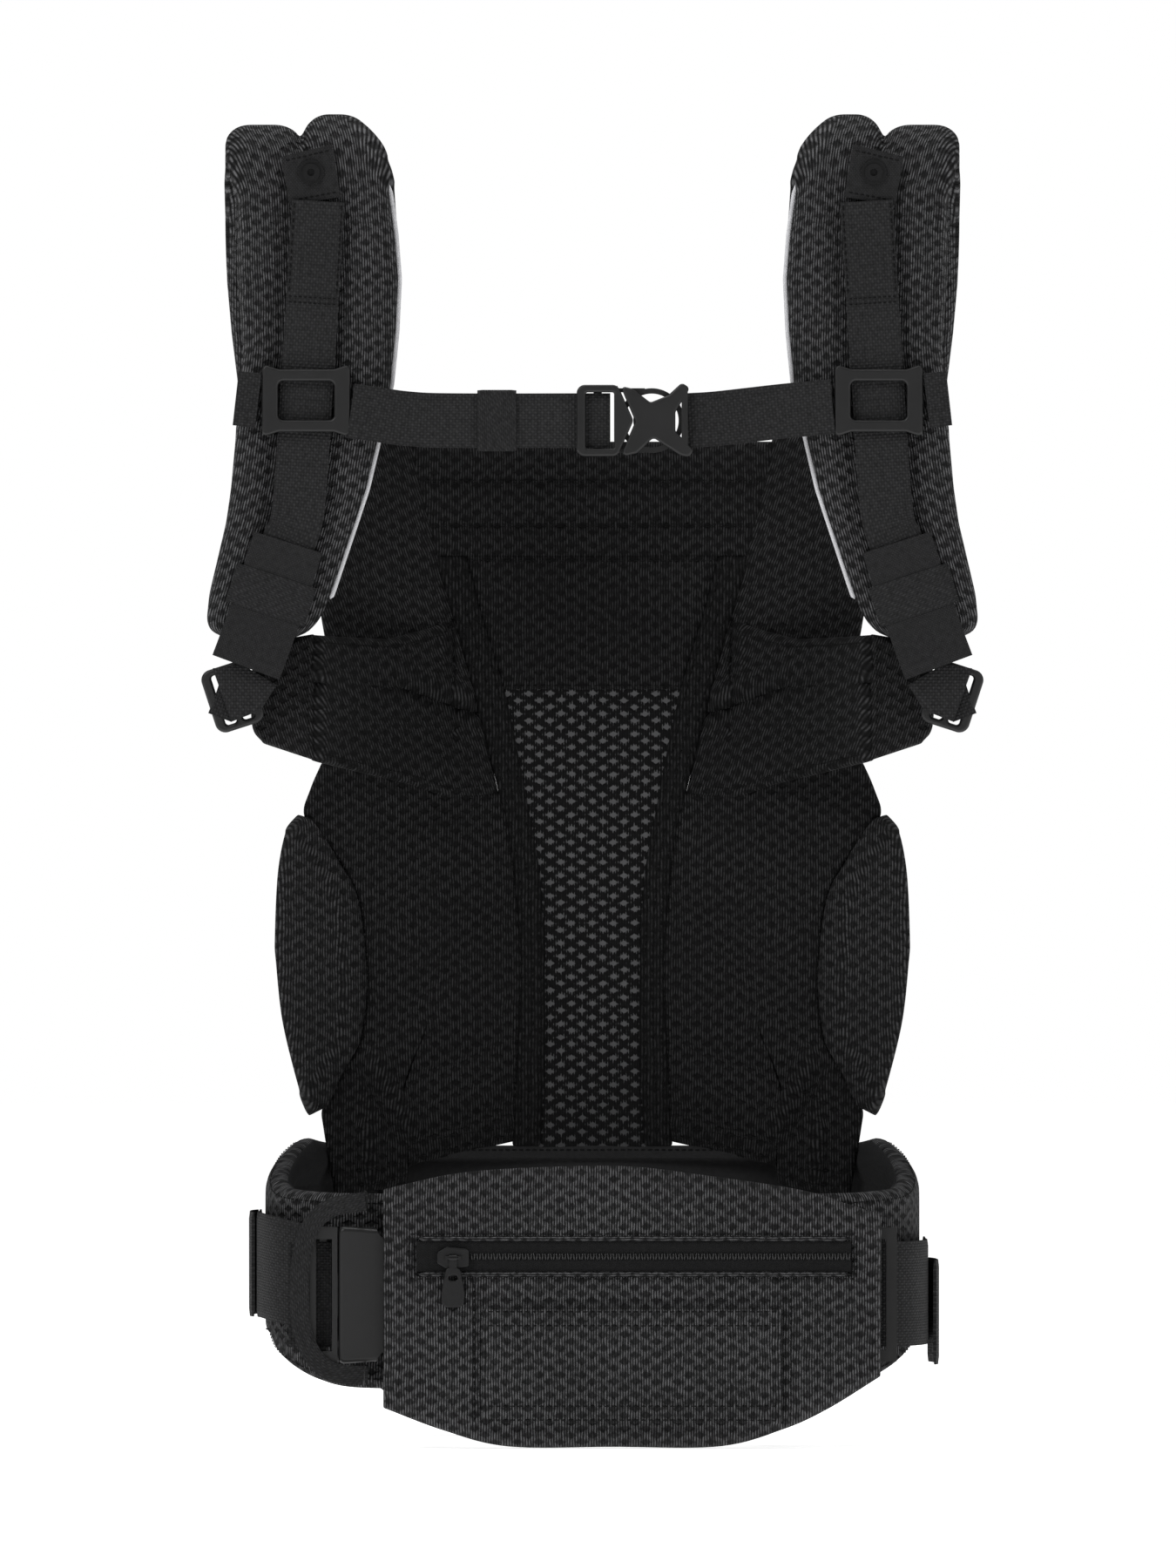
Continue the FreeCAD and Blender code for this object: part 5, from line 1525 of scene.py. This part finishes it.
        def middle(across: Array, up: Array) -> Array:
            """Places on the wing's middle surface."""
            spots = along(plan, across)
            low = np.interp(spots[:, 0], bottom[:, 0], bottom[:, 1])
            high = np.interp(spots[:, 0], top[:, 0], top[:, 1])
            z = low + (high - low) * up
            heights = np.array([300, 337, 368, 397]) * MM
            rail = np.interp(z, heights, np.array([-43, -51.5, -59.5, -67.3]) * MM)
            x = spots[:, 0] + np.clip((spots[:, 0] + 75 * MM) / (30 * MM), 0, 1) * (rail + 45 * MM)
            y = np.where(x > -67 * MM, np.minimum(spots[:, 1], panel_depth(x)), spots[:, 1])
            fold = ridge(x, z, (-134, 363.5), (-94, 360.5), 2.4, -7)
            fold += ridge(x, z, (-94, 360.5), (-57, 348), 2.4, -7)
            fold += ridge(x, z, (-130, 371), (-94, 369), 4.5, 4) + ridge(x, z, (-94, 369), (-62, 356), 4.5, 4)
            fold += ridge(x, z, (-128, 374), (-80, 372), 6, 1.8) + ridge(x, z, (-92, 330), (-70, 318), 7, 2.6)
            fold += ridge(x, z, (-120, 338), (-88, 330), 6, -1.4)
            return np.stack([x - fold * 0.3, y - fold, z], axis=1)
        crown = edge_crown(150 * MM, 66 * MM, 6 * MM)
        depth = thickness(1.0, 3.2, crown)
        pad = Pad("soft_wing", 100, 48, middle, depth, depth).build()
        hands(pad.finish(), "soft_wing", "rib", "knit", "wing")
        for share in (0.06, 0.94):
            row = pad.seam("wing_row", [(0.03, share), (0.97, share)])
            hands(row, f"wing_row_{int(share * 100)}", "thread", "knit")


# ------------------------------------------------------------------ the waist belt

@dataclass
class WaistBelt:
    """Belt wings, belt back, waist webbing, buckle webbing and the elastic safety loop, in millimetres."""

    plan: tuple[Spot, ...] = ((-101.5, 92.5), (-113.5, 92.4), (-134, 80), (-148, 45), (-150, 15), (-144, -20),
                              (-124, -40), (-96, -44), (-68.4, -44))
    low_edge: tuple[Spot, ...] = ((-56, 20), (-38, 30), (0, 50), (50, 48), (105, 24))
    high_edge: tuple[Spot, ...] = ((-56, 119), (-20, 122), (10, 129), (50, 144), (105, 138))
    near: float = -55.8
    webbing: float = 50.0
    turned_edge: float = 2.5
    rise: float = 9.0
    lean: float = 0.55

    def build(self) -> None:
        """Make the belt and its webbing."""
        self.belt_wings()
        self.belt_back()
        self.left_webbing()
        self.right_webbing()
        self.safety_loop()

    def belt_wings(self) -> None:
        """The padded side wings, smooth lining inside and knit outside."""
        plan = smooth_line(self.plan)
        low = np.array(self.low_edge) * MM
        high = np.array(self.high_edge) * MM
        total = length_of(plan)

        def middle(across: Array, up: Array) -> Array:
            """Places on the wing's middle surface."""
            spots = along(plan, across)
            bottom = np.interp(spots[:, 1], low[:, 0], low[:, 1])
            top = np.interp(spots[:, 1], high[:, 0], high[:, 1])
            z = bottom + (top - bottom) * up
            beside = np.clip((-spots[:, 0] / MM - 112) / 26, 0, 1)
            inward = self.lean * np.maximum(z - 123 * MM, 0) * beside
            return np.stack([spots[:, 0] + inward, spots[:, 1], z], axis=1)

        def flat(across: Array, up: Array) -> Array:
            """The wing's flat cloth coordinates."""
            return np.stack([across * total, middle(across, up)[:, 2]], axis=1)
        crown = edge_crown(total, 90 * MM, 8 * MM)
        depth = thickness(1.2, 6.4, crown)
        pad = Pad("soft_belt_wing", 110, 34, middle, depth, depth, flat).build()
        pad.inflate(rim, cap=2.0 * MM)
        pad.line_back()
        for piece in hands(pad.finish(), "soft_belt_wing", "knit", "knit", "belt_wing"):
            piece.data.materials.append(MATERIALS["lining"])
        def core_middle(across: Array, up: Array) -> Array:
            """The foam's middle surface, inside the wing's rim."""
            return middle(0.03 + 0.94 * across, 0.08 + 0.84 * up)
        filling = thickness(0.6, 4.2, crown)
        core = Pad("belt_core", 70, 24, core_middle, filling, filling).build()
        for piece in hands(core.finish(0), "soft_belt_foam", "foam", "foam"):
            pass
        for share in (0.05, 0.95):
            row = pad.seam("belt_wing_row", [(0.01, share), (0.99, share)])
            hands(row, f"belt_wing_row_{int(share * 100)}", "thread", "knit")

    def belt_back(self) -> None:
        """The belt's stiff padded back."""
        lowest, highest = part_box("belt_back")
        middle_y = (lowest[1] + highest[1]) / 2
        half, top = highest[0] / MM, highest[2] / MM + self.turned_edge
        bottom = smooth_line([(-half, 24), (-68, 1), (0, 1), (68, 1), (half, 24)])
        bottom[:, 1] = np.maximum(bottom[:, 1], 0.6 * MM)
        upper = smooth_line([(-half, top), (half, top)])
        left = smooth_line([(-half, 24), (-half, top)])
        right = smooth_line([(half, 24), (half, top)])
        pad = flat_patch("soft_belt_back", patch(bottom, right, upper, left), middle_y, 1.5, 6.9, 80, 50, 9)
        pad.line_back()
        piece = settle(pad.finish(), "lining", "carrier", "knit", "belt_back")
        piece.data.materials.append(MATERIALS["knit"])
        shape = patch(bottom * 0.94 + np.array([0, 4 * MM]), right * 0.94, upper * 0.94, left * 0.94)
        core = flat_patch("belt_back_core", shape, middle_y, 0.8, 4.6, 50, 30, 9)
        piece = settle(core.finish(0), "foam", "carrier", "foam", "belt_foam")

    def left_webbing(self) -> None:
        """Waist webbing at the buckle's side, with its folded tail."""
        centre = 76.2 * MM
        plan = level([(-108.4, self.near), (-116, self.near), (-134, -55.3), (-151, -42.8), (-159.2, -18),
                      (-159.2, 8), (-159.2, 38)], centre)
        plan[:, 2] += np.interp(-plan[:, 0] / MM, [116, 158], [0, self.rise]) * MM
        pad = ribbon("soft_waist_webbing_left", plan, self.webbing * MM, 1.7 * MM, 90, 16, UPWARD)
        settle(pad.finish(0), "webbing", "carrier", "webbing", "waist_webbing_left")
        tail = level([(-160.6, 34), (-163.2, 22), (-163.6, 0), (-162.2, -12)][::-1], centre + self.rise * MM)
        pad = ribbon("waist_tail_left", tail, self.webbing * MM, 1.6 * MM, 40, 14, UPWARD)
        settle(pad.finish(0), "webbing", "carrier", "webbing")

    def right_webbing(self) -> None:
        """Waist webbing at the slider's side, with its tail."""
        centre = 72.2 * MM
        plan = level([(62, self.near), (110, self.near), (134, -55.3), (151, -42.8), (159.2, -18), (159.2, 8),
                      (159.2, 38)][::-1], centre)
        pad = ribbon("soft_waist_webbing_right", plan, self.webbing * MM, 1.7 * MM, 110, 16, UPWARD)
        settle(pad.finish(0), "webbing", "carrier", "webbing", "waist_webbing_right")
        tail = level([(161.6, 34), (164, 22), (165.2, 0), (163.8, -12)], centre - 10 * MM)
        pad = ribbon("waist_tail_right", tail, self.webbing * MM, 1.6 * MM, 40, 14, UPWARD)
        settle(pad.finish(0), "webbing", "carrier", "webbing")
        self.plug_webbing()

    def plug_webbing(self) -> None:
        """Webbing sewn round the waist plug's bar."""
        lowest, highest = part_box("plug_webbing")
        middle = [(low + high) / 2 for low, high in zip(lowest, highest)]
        line = np.array([[lowest[0], middle[1], middle[2]], [highest[0], middle[1], middle[2]]])[::-1]
        tall = highest[2] - lowest[2]
        pad = ribbon("soft_plug_webbing", line, tall, highest[1] - lowest[1], 24, 16, UPWARD)
        settle(pad.finish(0), "webbing", "waist_plug", "webbing", "plug_webbing")

    def safety_loop(self) -> None:
        """The elastic loop that the buckle passes through."""
        near = (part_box("safety_loop")[0][1]) + 0.7 * MM
        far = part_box("safety_loop")[1][1]
        path = [(-108, 117), (-124, 114), (-134, 105), (-138.6, 89), (-139.4, 72), (-138, 55), (-132, 42),
                (-123, 35.5), (-109, 34)]
        pad = ribbon("soft_safety_loop", upright(path[::-1], near), 9 * MM, 1.4 * MM, 90, 8)
        settle(pad.finish(0), "twill", "carrier", "webbing", "safety_loop")
        for height, label in ((117, "high"), (34, "low")):
            leg = np.array([[-107.5, near / MM, height], [-108.5, far / MM, height]]) * MM
            pad = ribbon(f"safety_leg_{label}", leg, 9 * MM, 1.4 * MM, 12, 6, UPWARD)
            settle(pad.finish(0), "twill", "carrier", "webbing")


# ------------------------------------------------------------------ the pouch

@dataclass
class Pouch:
    """The zipped pouch with its slip pocket and zip, in millimetres."""

    bottom: tuple[Spot, ...] = ((-99.5, 19), (-71, 8.3), (-40, 0.6), (10, 0.4), (60, 0.6), (90, 8.5),
                                (112, 18.5), (137, 34))
    top: tuple[Spot, ...] = ((-99.5, 123), (-64, 130.7), (-24, 133.6), (16, 134), (49, 130.3), (98, 123),
                             (122, 115.8), (137.5, 111))
    zip_left: float = -84.7
    zip_right: float = 124.0
    zip_level: float = 91.3
    zip_half: float = 7.9
    seams: tuple[float, ...] = (-53.0, 91.0)
    pocket_ends: tuple[float, ...] = (8.8, 69.2)
    rim_radius: float = 11.0

    def build(self) -> None:
        """Make the pouch, its pocket and its zip."""
        lowest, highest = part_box("pouch")
        self.near = -94.0 * MM if lowest[1] < -94.5 * MM else lowest[1]
        self.far = highest[1]
        self.centre = (self.near + self.far) / 2
        self.body()
        self.pocket()
        self.zip()

    def front_depth(self, x: Array, z: Array) -> Array:
        """Depth of the pouch's front cloth at a place.

        Args:
            x: places across, in metres.
            z: places up, in metres.

        Returns:
            The depth, in metres.
        """
        low, high = np.array(self.bottom) * MM, np.array(self.top) * MM
        floor = np.interp(x, low[:, 0], low[:, 1])
        roof = np.interp(x, high[:, 0], high[:, 1])
        gap = np.minimum(np.minimum(x - low[0, 0], low[-1, 0] - x), np.minimum(z - floor, roof - z))
        gap = np.maximum(gap, 0)
        depth = self.near + (self.centre - self.near - 1.0 * MM) * (1 - rounding(gap, self.rim_radius * MM))
        fullness = np.clip(gap / (34 * MM), 0, 1)
        depth -= 1.6 * MM * fullness * (3 - 2 * fullness) * fullness * (z < 80 * MM)
        for seam in self.seams:
            below = z < (self.zip_level - self.zip_half - 2) * MM
            depth += 2.0 * MM * np.exp(-((x - seam * MM) / (1.3 * MM)) ** 2) * below
        inside = (x > self.seams[0] * MM) & (x < self.seams[1] * MM)
        for level_mm in self.pocket_ends:
            depth += 1.8 * MM * np.exp(-((z - level_mm * MM) / (1.2 * MM)) ** 2) * inside
        depth -= ridge(x, z, (-92, 64), (-58, 34), 8, 1.0) + ridge(x, z, (96, 60), (130, 50), 7, 1.0)
        depth -= ridge(x, z, (-90, 112), (-20, 118), 7, 0.8) + ridge(x, z, (20, 121), (120, 106), 6, 0.9)
        return depth

    def slot_share(self, x: Array, z: Array) -> Array:
        """1 where the zip lies in its opening and 0 elsewhere."""
        tall = np.clip((self.zip_half - np.abs(z / MM - self.zip_level)) / 1.2 + 1, 0, 1)
        wide = np.clip(np.minimum(x / MM - self.zip_left, self.zip_right - x / MM) / 1.2 + 1, 0, 1)
        return tall * wide

    def body(self) -> None:
        """The pouch itself, sunk round its zip."""
        bottom, top = smooth_line(self.bottom, 20), smooth_line(self.top, 20)
        left = smooth_line([self.bottom[0], self.top[0]])
        right = smooth_line([self.bottom[-1], self.top[-1]])
        shape = patch(bottom, right, top, left)

        def middle(across: Array, up: Array) -> Array:
            """Places half way through the pouch."""
            spots = shape(across, up)
            return np.stack([spots[:, 0], np.full(len(across), self.centre), spots[:, 1]], axis=1)

        def front(across: Array, up: Array) -> Array:
            """Thickness towards the zip."""
            spots = shape(across, up)
            full = self.centre - self.front_depth(spots[:, 0], spots[:, 1])
            return full - 2.6 * MM * self.slot_share(spots[:, 0], spots[:, 1])
        crown = edge_crown(237 * MM, 120 * MM, 10 * MM)
        back = thickness(1.0, (self.far - self.centre) / MM, crown)
        pad = Pad("soft_pouch", 170, 104, middle, front, back).build()
        piece = settle(pad.finish(), "knit", "carrier", "knit", "pouch")
        self.rows()

    def row(self, name: str, points: Sequence[Spot], lift: float = 0.3) -> None:
        """A row of stitches on the pouch's front.

        Args:
            name: the row's name.
            points: places across and up that it passes.
            lift: how far it stands off the cloth, in millimetres.
        """
        spots = along(np.array(points, dtype=float) * MM, np.linspace(0, 1, 200))
        depth = self.front_depth(spots[:, 0], spots[:, 1]) - lift * MM
        line = np.stack([spots[:, 0], depth, spots[:, 1]], axis=1)
        out = np.tile([0.0, -1.0, 0.0], (200, 1))
        settle(stitches(name, line, out, 3.4 * MM), "thread", "carrier", "knit")

    def rows(self) -> None:
        """Stitching round the zip and beside the seams."""
        over, under = self.zip_level + 10.6, self.zip_level - 10.6
        left, right = self.zip_left - 2.4, self.zip_right + 1.2
        self.row("zip_row_high", [(left, over), (right, over)])
        self.row("zip_row_low", [(left, under), (right, under)])
        self.row("zip_row_left", [(left, under), (left, over)])
        self.row("zip_row_right", [(right, under), (right, over)])
        for index, seam in enumerate(self.seams):
            beside = seam - 3.2 + 6.4 * index
            self.row(f"pouch_seam_row_{index}", [(beside, 12), (beside, 79)])

    def pocket(self) -> None:
        """The slip pocket on the pouch's front, with its turned lip."""
        lowest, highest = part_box("slip_pocket")

        def middle(across: Array, up: Array) -> Array:
            """Places on the pocket."""
            x = lowest[0] + (highest[0] - lowest[0]) * across
            z = lowest[2] + (highest[2] - lowest[2]) * up
            sag = 0.8 * MM * np.sin(math.pi * across) * up ** 3
            return np.stack([x, self.front_depth(x, z) - 0.9 * MM - sag, z], axis=1)

        def front(across: Array, up: Array) -> Array:
            """Thickness with a fuller turned lip."""
            lip = np.clip((up - 0.93) / 0.02, 0, 1)
            return (0.45 + 0.5 * lip + 0.35 * groove(up, 0.93, 0.02)) * MM

        def back(across: Array, up: Array) -> Array:
            """Thickness towards the pouch."""
            return np.full(len(across), 0.4 * MM)
        pad = Pad("soft_slip_pocket", 90, 60, middle, front, back).build()
        settle(pad.finish(), "knit", "carrier", "knit", "slip_pocket")
        for level_mm, label in ((65.2, "lip"), (58.5, "high"), (20.3, "low"), (13.7, "hem")):
            share = (level_mm * MM - lowest[2]) / (highest[2] - lowest[2])
            seam = pad.seam(f"pocket_row_{label}", [(0.015, share), (0.985, share)], pitch=3.4 * MM)
            settle(seam, "thread", "carrier", "knit")

    def zip(self) -> None:
        """The zip's tape and its interlocking coil."""
        lowest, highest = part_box("zip_tape")
        depth = -92.9 * MM
        line = np.array([[highest[0] - 0.5 * MM, depth, self.zip_level * MM],
                         [lowest[0] + 0.5 * MM, depth, self.zip_level * MM]])
        width = highest[2] - lowest[2] - 0.4 * MM
        pad = ribbon("soft_zip_tape", line, width, 1.0 * MM, 90, 12, UPWARD)
        settle(pad.finish(0), "tape", "carrier", "webbing", "zip_tape")
        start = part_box("zip_slider")[1][0] + 0.5 * MM
        count = int((highest[0] - start) / (1.35 * MM))
        x = start + (np.arange(count) + 0.5) * 1.35 * MM
        near = np.full(count, depth - 0.9 * MM)
        lean = np.where(np.arange(count) % 2, 0.3, -0.3) * MM
        low = np.stack([x - lean, near, np.full(count, (self.zip_level - 1.9) * MM)], axis=1)
        high = np.stack([x + lean, near, np.full(count, (self.zip_level + 1.9) * MM)], axis=1)
        for side, label in ((1, "high"), (-1, "low")):
            ends = np.array([self.zip_left + 1, self.zip_right - 1]) * MM
            places = np.linspace(ends[0], ends[1], 60)
            rise = np.full(60, (self.zip_level + side * (self.zip_half + 0.6)) * MM)
            lip = np.stack([places, self.front_depth(places, rise) + 0.3 * MM, rise], axis=1)
            settle(tube(f"zip_lip_{label}", lip, 1.2 * MM, 8), "knit", "carrier", "knit")
        coil = capsules("zip_coil", low, high, np.tile([0.0, -1.0, 0.0], (count, 1)), 0.52 * MM)
        settle(coil, "coil", "carrier", "webbing")


# ------------------------------------------------------------------ the chest strap and hardware

@dataclass
class ChestStrap:
    """The chest strap's webbing and its elastic keeper, in millimetres."""

    left: tuple[Spot, ...] = ((-115, 493.2), (-104, 491.6), (-88, 489.4), (-66, 488.5), (8.5, 488.5))
    right: tuple[Spot, ...] = ((44.8, 488.5), (60, 489.5), (90, 492.9), (114.4, 495.2))
    tail: tuple[Spot, ...] = ((159.1, 498), (169.8, 499.2))
    width: float = 26.0

    def build(self) -> None:
        """Make the webbing and the keeper."""
        lowest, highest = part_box("chest_webbing_left")
        near = (lowest[1] + highest[1]) / 2
        wide, thick = self.width * MM, 1.7 * MM
        main = ribbon("soft_chest_webbing_left", self.upside(self.left, near), wide, thick, 80, 12)
        settle(main.finish(0), "webbing", "chest_strap", "webbing", "chest_webbing_left")
        for sign, side in ((-1, Side.LEFT), (1, Side.RIGHT)):
            spots = [(sign * x, z) for x, z in self.tail][::sign]
            tail = ribbon(f"chest_tail_{side.value}", self.upside(spots, near), wide, thick, 12, 12)
            settle(tail.finish(0), "webbing", "chest_strap", "webbing")
        other = ribbon("soft_chest_webbing_right", self.upside(self.right, near), wide, thick, 50, 12)
        settle(other.finish(0), "webbing", "chest_hook", "webbing", "chest_webbing_right")
        self.keeper()

    def upside(self, points: Sequence[Spot], near: float) -> Array:
        """The webbing's line through the points, in their given order, at one depth."""
        return upright(list(points), near)

    def keeper(self) -> None:
        """The elastic keeper round the webbing's spare end."""
        lowest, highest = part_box("chest_keeper")
        middle = np.array([(low + high) / 2 for low, high in zip(lowest, highest)])
        half_z, half_y = (highest[2] - lowest[2]) / 2 - 0.5 * MM, (highest[1] - lowest[1]) / 2 - 0.5 * MM
        turns = np.linspace(0, 2 * math.pi, 65)
        tall = np.sign(np.cos(turns)) * np.abs(np.cos(turns)) ** 0.3 * half_z
        deep = np.sign(np.sin(turns)) * np.abs(np.sin(turns)) ** 0.5 * half_y
        loop = middle + np.stack([np.zeros(65), deep, tall], axis=1)
        width = highest[0] - lowest[0]
        pad = ribbon("soft_chest_keeper", loop, width, 1.0 * MM, 90, 8, np.array([1.0, 0, 0]))
        settle(pad.finish(0), "twill", "chest_keeper", "webbing", "chest_keeper")


@dataclass
class Hardware:
    """Moulded buckles, locks, sliders and metal parts that keep their designed shape."""

    plastic: tuple[str, ...] = ("chest_slider_left", "chest_slider_right", "chest_catch", "chest_hook",
                                "ladder_lock_left", "ladder_lock_right", "waist_housing", "waist_plug",
                                "prong_upper", "prong_lower", "waist_slider")
    metal: tuple[str, ...] = ("snap_socket_left", "snap_socket_right", "zip_slider", "zip_puller")
    hidden: tuple[str, ...] = ("lumbar_board",)

    def build(self) -> None:
        """Give every designed part its finish."""
        for finish, nodes in (("plastic", self.plastic), ("metal", self.metal), ("foam", self.hidden)):
            for node in nodes:
                part = frame["nodes"][node]
                for slot in part.material_slots:
                    slot.material = MATERIALS[finish]
                if not part.material_slots:
                    part.data.materials.append(MATERIALS[finish])
                LOG.info("%s: %s", node, finish)


# ------------------------------------------------------------------ studio

@dataclass
class Studio:
    """The pale floor, soft lights and camera, in metres."""

    distance: float = 12.0
    tall: float = 0.747
    aim: tuple[float, float, float] = (-0.0021, -0.057, 0.3154)
    elevation: float = 0.6
    sensor: float = 36.0
    ambient: float = 0.24

    def build(self) -> None:
        """Make the floor, the lights, the world and the camera."""
        self.floor()
        self.lights()
        self.camera()

    def floor(self) -> None:
        """A wide pale floor and an even pale world."""
        bpy.ops.object.select_all(action="DESELECT")
        bpy.ops.mesh.primitive_plane_add(size=14.0, location=(0, 0, -0.0004))
        ground = bpy.context.object
        ground.name = "studio_floor"
        bpy.ops.object.transform_apply(location=True, rotation=True, scale=True)
        material = bpy.data.materials.new("studio_white")
        material.use_nodes = True
        shader = material.node_tree.nodes["Principled BSDF"]
        shader.inputs["Base Color"].default_value = (0.9, 0.9, 0.9, 1.0)
        shader.inputs["Roughness"].default_value = 0.9
        shader.inputs["Emission Color"].default_value = (1.0, 1.0, 1.0, 1.0)
        shader.inputs["Emission Strength"].default_value = 0.78
        ground.data.materials.append(material)
        world = bpy.data.worlds.new("studio_world")
        bpy.context.scene.world = world
        world.use_nodes = True
        wires = Wiring(world.node_tree)
        backdrop = world.node_tree.nodes["Background"]
        backdrop.inputs["Color"].default_value = (1.0, 1.0, 1.0, 1.0)
        seen = wires.add("ShaderNodeLightPath").outputs["Is Camera Ray"]
        strength = wires.sum("MULTIPLY_ADD", seen, 1.0 - self.ambient, self.ambient)
        wires.feed(backdrop.inputs["Strength"], strength)
        bpy.context.scene.view_settings.view_transform = "Standard"

    def lights(self) -> None:
        """Two broad soft lights in front and one above."""
        for spot, size, power in (((-1.8, -2.0, 2.3), 1.2, 44.0), ((2.0, -1.8, 1.5), 1.6, 16.0),
                                  ((0.0, 0.2, 2.4), 1.6, 34.0)):
            bpy.ops.object.light_add(type="AREA", location=spot)
            lamp = bpy.context.object
            lamp.data.size = size
            lamp.data.energy = power
            aim = Vector((0, 0, 0.32)) - Vector(spot)
            lamp.rotation_euler = aim.to_track_quat("-Z", "Y").to_euler()

    def camera(self) -> None:
        """A long lens in front of the carrier."""
        lens = self.sensor * self.distance / self.tall
        rise = math.radians(self.elevation)
        place = Vector(self.aim) + Vector((0, -math.cos(rise), math.sin(rise))) * self.distance
        bpy.ops.object.camera_add(location=place)
        camera = bpy.context.object
        camera.data.sensor_fit = "VERTICAL"
        camera.data.sensor_height = self.sensor
        camera.data.lens = lens
        camera.rotation_euler = (Vector(self.aim) - place).to_track_quat("-Z", "Y").to_euler()
        bpy.context.scene.camera = camera


def write_sizes() -> None:
    """Bring the view layer up to date."""
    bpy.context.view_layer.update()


def main() -> None:
    """Build the carrier's looks in order."""
    logging.basicConfig(level=logging.INFO, format="%(message)s")
    for part in (Studio(), BackPanel(), ShoulderStraps(), WaistBelt(), Pouch(), ChestStrap(), Hardware()):
        LOG.info("building %s", type(part).__name__)
        part.build()
    write_sizes()


if __name__ == "__main__":
    main()
